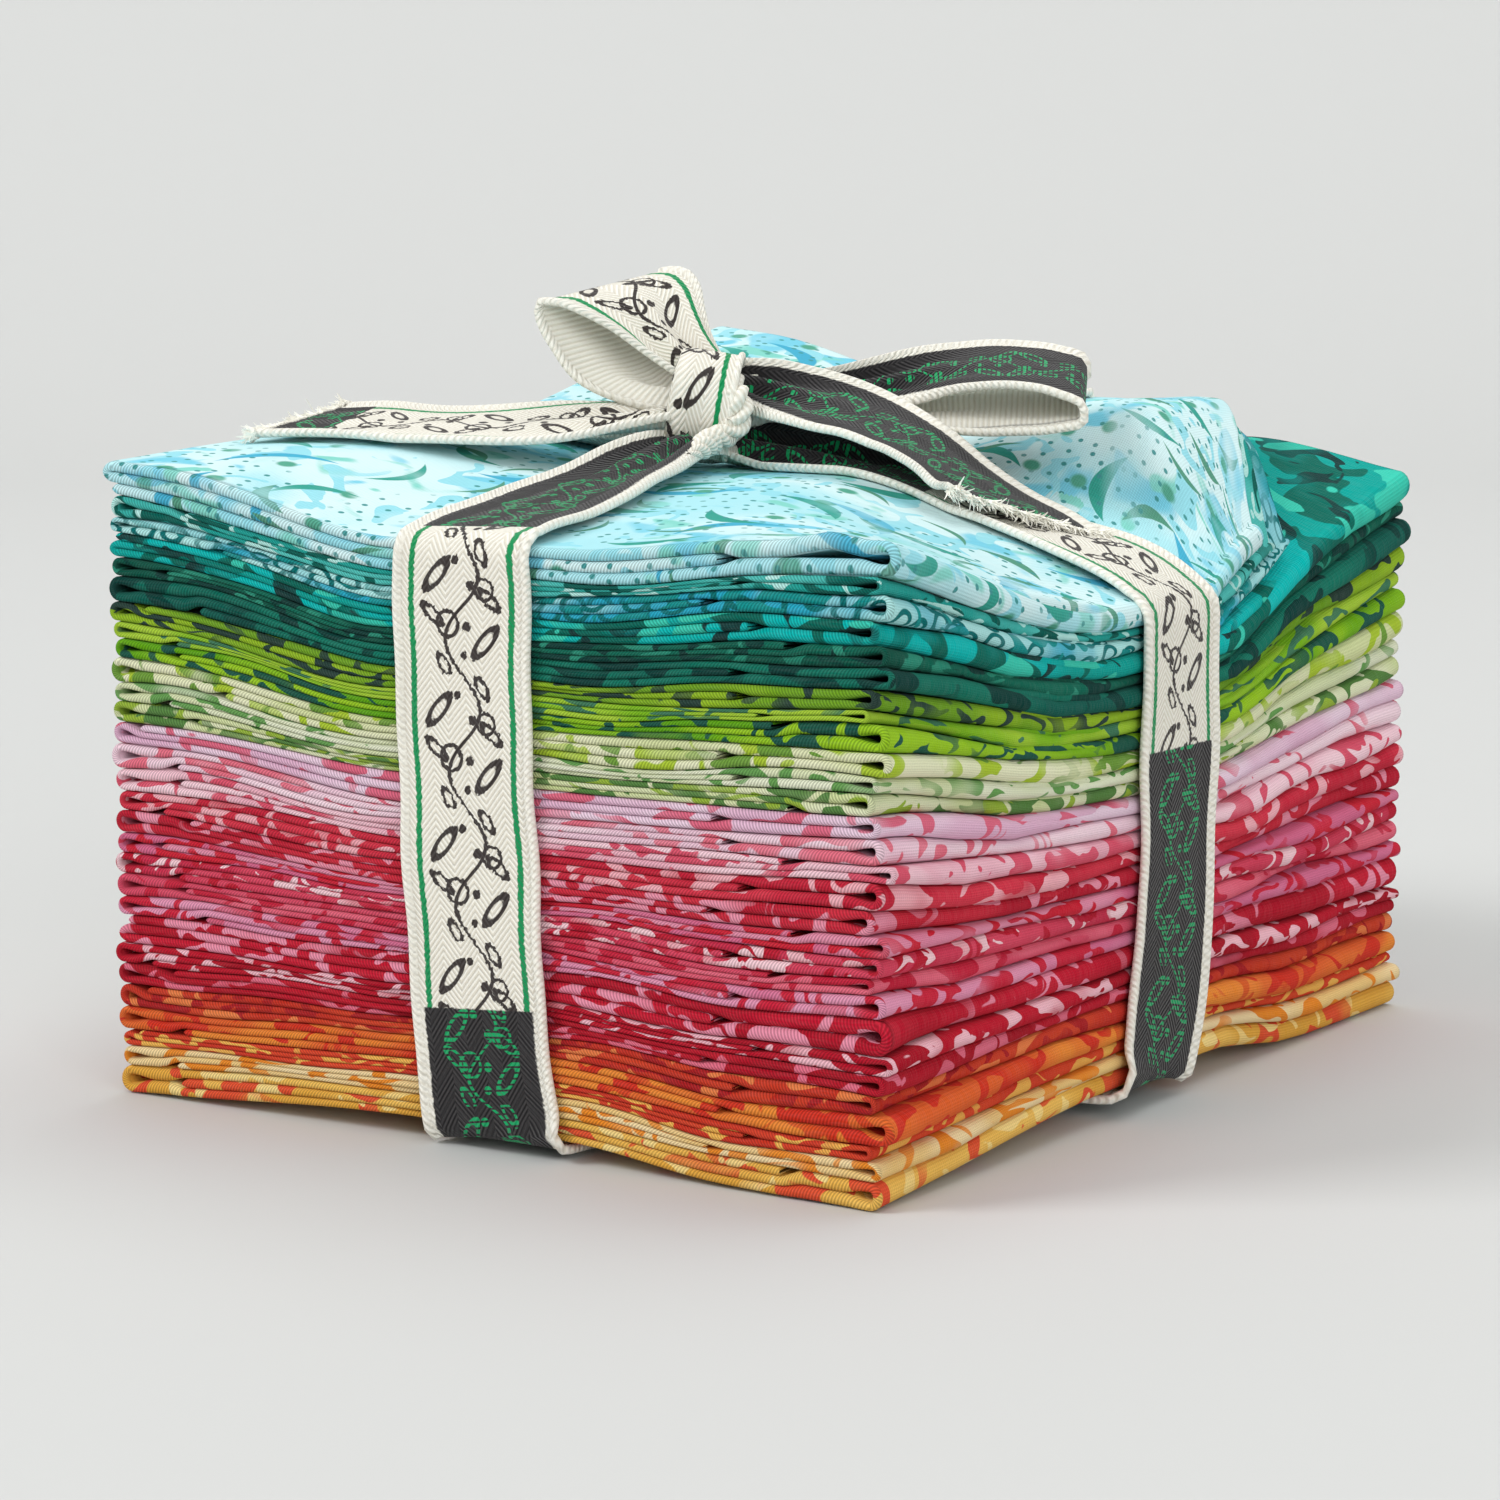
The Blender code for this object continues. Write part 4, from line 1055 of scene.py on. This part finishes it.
def ribbon_cloth(name, length, dark):
    """Cream herringbone ribbon with green lines, a charcoal sprig and charcoal lengths, with painted shade in the
    grooves of its ribs and edge braid.
    """
    graph = Graph(name)
    held = graph.node("ShaderNodeUVMap", uv_map="OFBake").outputs[0]
    split = graph.node("ShaderNodeSeparateXYZ", {0: held})
    along = graph.math("MULTIPLY", split.outputs[0], length)
    across = graph.node("ShaderNodeAttribute", attribute_name="across").outputs["Fac"]
    face = between(graph, across, 1.5, RIBBON - 1.5, 0.3)
    inside = graph.math("MULTIPLY", graph.step(split.outputs[1], 0.5, 0.53), face)
    spot = graph.node("ShaderNodeCombineXYZ", {0: along, 1: across}).outputs[0]
    column = graph.math("PINGPONG", across, 3.4)
    chevron = graph.math("ADD", along, graph.math("MULTIPLY", column, 1.15))
    twill = graph.math("SINE", graph.math("MULTIPLY", chevron, 2 * pi / 1.1))
    grain = graph.noise(spot, 1.4, 3.0)
    # Painted shade in the grooves of the herringbone twill.
    cream = graph.mix(graph.step(twill, -0.9, 0.9), CREAM_SHADE, CREAM)
    braid = graph.math("SINE", graph.math("MULTIPLY", graph.math("ADD", along, graph.math("MULTIPLY", across, 0.7)), 2 * pi / 1.5))
    # Painted shade between the braided ribs of the edge cords, in place of their relief shading.
    edging = graph.mix(graph.math("MULTIPLY", graph.step(braid, 0.1, -1.0), 0.6), CREAM, CREAM_SHADE)
    cream = graph.mix(face, edging, cream)
    cream = graph.mix(graph.math("MULTIPLY", grain, 0.3), cream, CREAM)
    ragged = graph.math("ADD", across, graph.math("MULTIPLY", graph.math("SUBTRACT", grain, 0.5), 0.7))
    line = graph.math("MAXIMUM", between(graph, ragged, 3.0, 4.1), between(graph, ragged, RIBBON - 4.1, RIBBON - 3.0))
    cream = graph.mix(line, cream, GREEN)
    sprig = vine(graph, graph.math("ADD", along, graph.math("MULTIPLY", graph.math("SUBTRACT", grain, 0.5), 0.9)), ragged, 21.0, 0.84)
    cream = graph.mix(sprig, cream, INK)
    rib = graph.math("SINE", graph.math("MULTIPLY", chevron, 2 * pi / 0.9))
    # Painted shade in the grooves of the charcoal's ribs.
    coal = graph.mix(graph.step(rib, -0.8, 0.8), CHARCOAL_SHADE, CHARCOAL)
    dashes = graph.step(graph.math("SINE", graph.math("MULTIPLY", along, 2 * pi / 0.95)), -0.7, -0.2)
    coal = graph.mix(graph.math("MULTIPLY", vine(graph, along, across, 17.0, 0.7), dashes), coal, GREEN_THREAD)
    middle = between(graph, ragged, 2.4, RIBBON - 2.4, 0.2)
    coal = graph.mix(middle, edging, coal)
    where = 0.0
    for low, high in dark:
        span = between(graph, graph.math("ADD", along, graph.math("MULTIPLY", grain, 0.4)), low, high, 0.15)
        where = graph.math("MAXIMUM", where, span)
    colour = graph.mix(where, cream, coal) if dark else cream
    ribs = graph.math("SINE", graph.math("MULTIPLY", along, 2 * pi / 1.0))
    # Painted shade in the grooves of the inside face's ribs.
    plain = graph.mix(graph.step(ribs, -1.6, 0.4), CREAM_SHADE, CREAM)
    colour = graph.mix(inside, colour, plain)
    relief = graph.math("ADD", twill, graph.math("MULTIPLY", inside, graph.math("SUBTRACT", ribs, twill)))
    height = graph.math("ADD", graph.math("MULTIPLY", relief, 0.5), graph.math("MULTIPLY", grain, 0.8))
    bump = graph.node("ShaderNodeBump", {"Strength": 0.6, "Distance": 0.00035, "Height": height})
    graph.feed(graph.shader.inputs["Base Color"], colour)
    graph.feed(graph.shader.inputs["Normal"], bump.outputs[0])
    graph.shader.inputs["Roughness"].default_value = 0.9
    graph.shader.inputs["Sheen Weight"].default_value = 0.15
    graph.shader.inputs["Specular IOR Level"].default_value = 0.15
    return graph.material


def wrap_stops():
    """The turn of ribbon round the knot."""
    level = np.cross([0, 0, 1], WRAP_ACROSS)
    level /= np.linalg.norm(level)
    upright = np.cross(WRAP_ACROSS, level)
    middle = KNOT_MIDDLE + WRAP_RISE * upright + WRAP_SHIFT
    stops = []
    for k in range(14):
        angle = 2 * pi * k / 14
        place = middle + level * WRAP_LEVEL * sin(angle) - upright * min(WRAP_UPRIGHT * cos(angle), WRAP_BOTTOM)
        stops.append((*place, tuple(WRAP_ACROSS), FULL))
    return stops


def plain_piece(name, spots, closed_across, length, width):
    """A piece of bunched ribbon whose cords and creases are its shape."""
    steps_u, steps_v = spots.shape[:2]
    u = np.linspace(0, 1, steps_u)
    v = np.linspace(0, 1, steps_v + 1 if closed_across else steps_v)
    maps = np.stack(np.meshgrid(u, v, indexing="ij"), -1)
    piece = grid_piece(name, spots, maps, closed_across=closed_across)
    piece.data.materials.append(selvage_cloth(name, length, width))
    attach(piece, "root")
    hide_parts("ribbon")
    return piece


def selvage_cloth(name, length, width):
    """Soft cream cotton with fine slanting ribs, with painted shade in their grooves."""
    graph = Graph(name)
    place = graph.place(length, width)
    split = graph.node("ShaderNodeSeparateXYZ", {0: place})
    slant = graph.math("ADD", split.outputs[0], graph.math("MULTIPLY", split.outputs[1], 0.8))
    ribs = graph.math("SINE", graph.math("MULTIPLY", slant, 2 * pi / 0.9))
    grain = graph.noise(place, 1.2, 3.0)
    # Painted shade in the grooves between the ribs.
    colour = graph.mix(graph.step(ribs, -1.0, 0.7), CREAM_SHADE, CREAM)
    colour = graph.mix(graph.math("MULTIPLY", grain, 0.5), colour, CREAM)
    height = graph.math("ADD", graph.math("MULTIPLY", ribs, 0.4), grain)
    bump = graph.node("ShaderNodeBump", {"Strength": 0.6, "Distance": 0.0004, "Height": height})
    graph.feed(graph.shader.inputs["Base Color"], colour)
    graph.feed(graph.shader.inputs["Normal"], bump.outputs[0])
    graph.shader.inputs["Roughness"].default_value = 0.92
    graph.shader.inputs["Sheen Weight"].default_value = 0.2
    graph.shader.inputs["Specular IOR Level"].default_value = 0.15
    return graph.material


def knot_core():
    """The bunched ribbon inside the knot, as a creased ball."""
    rings, around = 26, 40
    polar = np.linspace(0.03, pi - 0.03, rings)[:, None]
    turn = np.linspace(0, 2 * pi, around, endpoint=False)[None, :]
    swell = 1 + 0.07 * np.cos(turn * 5 + polar * 3) * np.sin(polar)
    ball = np.stack([np.sin(polar) * np.cos(turn), np.sin(polar) * np.sin(turn), np.cos(polar) + 0 * turn], -1)
    return plain_piece("ribbon_knot", KNOT_MIDDLE + ball * swell[..., None] * KNOT_RADII, True, 20.0, 36.0)


def path_frames(stops, step):
    """Evenly spaced points on a smooth line, with two directions across it at each."""
    rows = [(*stop, (0.0, 0.0, 1.0), 1.0) for stop in stops]
    places, _, _ = smooth_stops(rows, False)
    at = np.concatenate([[0.0], np.cumsum(np.linalg.norm(np.diff(places, axis=0), axis=1))])
    where = np.linspace(0, at[-1], max(int(at[-1] / step), 4))
    places = np.stack([np.interp(where, at, places[:, k]) for k in range(3)], -1)
    tangent = np.gradient(places, axis=0)
    tangent /= np.linalg.norm(tangent, axis=1)[:, None]
    first = np.cross(tangent, [0.54, -0.84, 0.1])
    first /= np.linalg.norm(first, axis=1)[:, None]
    return places, first, np.cross(tangent, first), where


def cord_strand(index):
    """One strand of the twisted edge beside the knot."""
    places, first, second, where = path_frames(CORD, 0.45)
    turn = 2 * pi * (where / CORD_TWIST + index / CORD_STRANDS)
    taper = 0.35 + 0.65 * np.minimum(ease(0, 2.5, where), ease(where[-1], where[-1] - 9, where))
    offset = CORD_RADIUS * 0.95 * taper
    middle = places + (offset * np.cos(turn))[:, None] * first + (offset * np.sin(turn))[:, None] * second
    around = np.linspace(0, 2 * pi, 12, endpoint=False)
    ring = np.cos(around)[None, :, None] * first[:, None] + np.sin(around)[None, :, None] * second[:, None]
    spots = middle[:, None] + ring * (CORD_RADIUS * taper)[:, None, None]
    return plain_piece(f"ribbon_cord_{index + 1}", spots, True, where[-1], 7.0)


def fringe(name, spots, count, direction):
    """Loose yarn ends at a ribbon's cut end, each a thin tapering tube."""
    rng = np.random.default_rng(SEED + 7)
    end = spots[-1]
    verts, faces = [], []
    for _ in range(count):
        k = rng.integers(0, len(end) - 1)
        start = end[k] + (end[k + 1] - end[k]) * rng.uniform(0, 1)
        heading = np.array(direction) + rng.normal(0, 0.42, 3)
        heading /= np.linalg.norm(heading)
        bend = rng.normal(0, 0.5, 3)
        length, radius = rng.uniform(0.8, 2.6), rng.uniform(0.16, 0.36)
        side = np.cross(heading, [0.3, 0.2, 0.9])
        side /= np.linalg.norm(side)
        other = np.cross(heading, side)
        base = len(verts)
        for step in range(4):
            t = step / 3
            middle = start + heading * length * (t - 0.15) + bend * t * t * length * 0.4
            for corner in range(3):
                angle = 2 * pi * corner / 3
                reach = radius * (1 - 0.7 * t)
                verts.append(tuple((middle + (side * cos(angle) + other * sin(angle)) * reach) * MM))
            if step:
                low, high = base + 3 * step - 3, base + 3 * step
                faces += [(low + c, low + (c + 1) % 3, high + (c + 1) % 3, high + c) for c in range(3)]
        faces.append((base + 9, base + 10, base + 11))
    mesh = bpy.data.meshes.new(name)
    mesh.from_pydata(verts, [], faces)
    mesh.update()
    piece = bpy.data.objects.new(name, mesh)
    bpy.context.scene.collection.objects.link(piece)
    graph = Graph(name)
    held = graph.node("ShaderNodeTexCoord").outputs["Object"]
    grain = graph.noise(held, 900.0, 2.0, flat=False)
    graph.feed(graph.shader.inputs["Base Color"], graph.mix(grain, CREAM, FUZZ))
    bump = graph.node("ShaderNodeBump", {"Strength": 0.3, "Distance": 0.0001, "Height": grain})
    graph.feed(graph.shader.inputs["Normal"], bump.outputs[0])
    graph.shader.inputs["Roughness"].default_value = 0.95
    mesh.materials.append(graph.material)
    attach(piece, "root")
    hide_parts("ribbon")
    return piece


def stage():
    """A pale floor that curves up behind."""
    depth = [(-3.0, 0.0), (1.2, 0.0)]
    for k in range(1, 13):
        angle = k / 12 * pi / 2
        depth.append((1.2 + 0.8 * sin(angle), 0.8 * (1 - cos(angle))))
    depth.append((2.0, 3.0))
    turn = radians(32.912)
    verts, faces = [], []
    for y, z in depth:
        for x in (-4.0, 4.0):
            verts.append((x * cos(turn) - y * sin(turn), x * sin(turn) + y * cos(turn), z))
    for k in range(len(depth) - 1):
        faces.append((2 * k, 2 * k + 1, 2 * k + 3, 2 * k + 2))
    mesh = bpy.data.meshes.new("floor")
    mesh.from_pydata(verts, [], faces)
    mesh.polygons.foreach_set("use_smooth", [True] * len(faces))
    floor = bpy.data.objects.new("floor", mesh)
    bpy.context.scene.collection.objects.link(floor)
    graph = Graph("floor")
    graph.shader.inputs["Base Color"].default_value = rgb(201, 202, 201)
    graph.shader.inputs["Roughness"].default_value = 0.7
    graph.shader.inputs["Specular IOR Level"].default_value = 0.2
    mesh.materials.append(graph.material)


def area_light(name, place, target, size, power, colour=(1.0, 1.0, 1.0)):
    data = bpy.data.lights.new(name, "AREA")
    data.shape = "RECTANGLE"
    data.size, data.size_y = size
    data.energy = power
    data.color = colour
    light = bpy.data.objects.new(name, data)
    light.location = place
    light.rotation_euler = (Vector(target) - Vector(place)).to_track_quat("-Z", "Y").to_euler()
    bpy.context.scene.collection.objects.link(light)


def camera():
    place, target = Vector((0.38620, -0.60914, 0.15937)), Vector((0.05053, -0.09050, 0.06789))
    data = bpy.data.cameras.new("camera")
    data.lens = 100.71
    data.sensor_width = 36.0
    data.clip_start, data.clip_end = 0.05, 20.0
    made = bpy.data.objects.new("camera", data)
    made.location = place
    made.rotation_euler = (target - place).to_track_quat("-Z", "Y").to_euler()
    bpy.context.scene.collection.objects.link(made)
    bpy.context.scene.camera = made


camera()
for cloth_number in range(1, len(CLOTHS) + 1):
    make_cotton(cloth_number)
ribbon_strip("ribbon_band_x", BAND_X, closed=True, dark=((0, 130), (200, 250)), clear=0.25)
ribbon_strip("ribbon_band_y", BAND_Y, closed=True, dark=((0, 126), (204, 292)), clear=0.25)
knot = knot_core()
cords = [cord_strand(index) for index in range(CORD_STRANDS)]
ribbon_strip("ribbon_wrap", wrap_stops(), closed=True, rolled=True)
ribbon_strip("ribbon_left_loop", LEFT_LOOP, sheared=True)
ribbon_strip("ribbon_right_loop", RIGHT_LOOP, dark=((0, 200),), sheared=True)
left_cut = ribbon_strip("ribbon_left_tail", LEFT_TAIL, dark=((67, 99),), clear=0.9, skew=-12.0)
front_cut = ribbon_strip("ribbon_front_tail", FRONT_TAIL, dark=((0, 99),), clear=1.3, skew=-16.0)
fringe("ribbon_left_fringe", left_cut, 500, (-0.85, -0.5, 0.0))
fringe("ribbon_front_fringe", front_cut, 700, (0.85, -0.35, -0.35))
stage()
area_light("key", (-2.2, -2.6, 2.9), (0, 0, 0.05), (1.5, 1.5), 99)
area_light("fill", (2.6, -2.2, 1.3), (0, 0, 0.05), (2.2, 1.8), 48)
area_light("top", (0.3, 0.8, 2.6), (0, 0, 0.05), (2.2, 2.2), 35)
world = bpy.data.worlds.new("world")
world.use_nodes = True
world.node_tree.nodes["Background"].inputs[0].default_value = rgb(232, 232, 230)
world.node_tree.nodes["Background"].inputs[1].default_value = 0.58
bpy.context.scene.world = world
bpy.context.scene.view_settings.view_transform = "Standard"
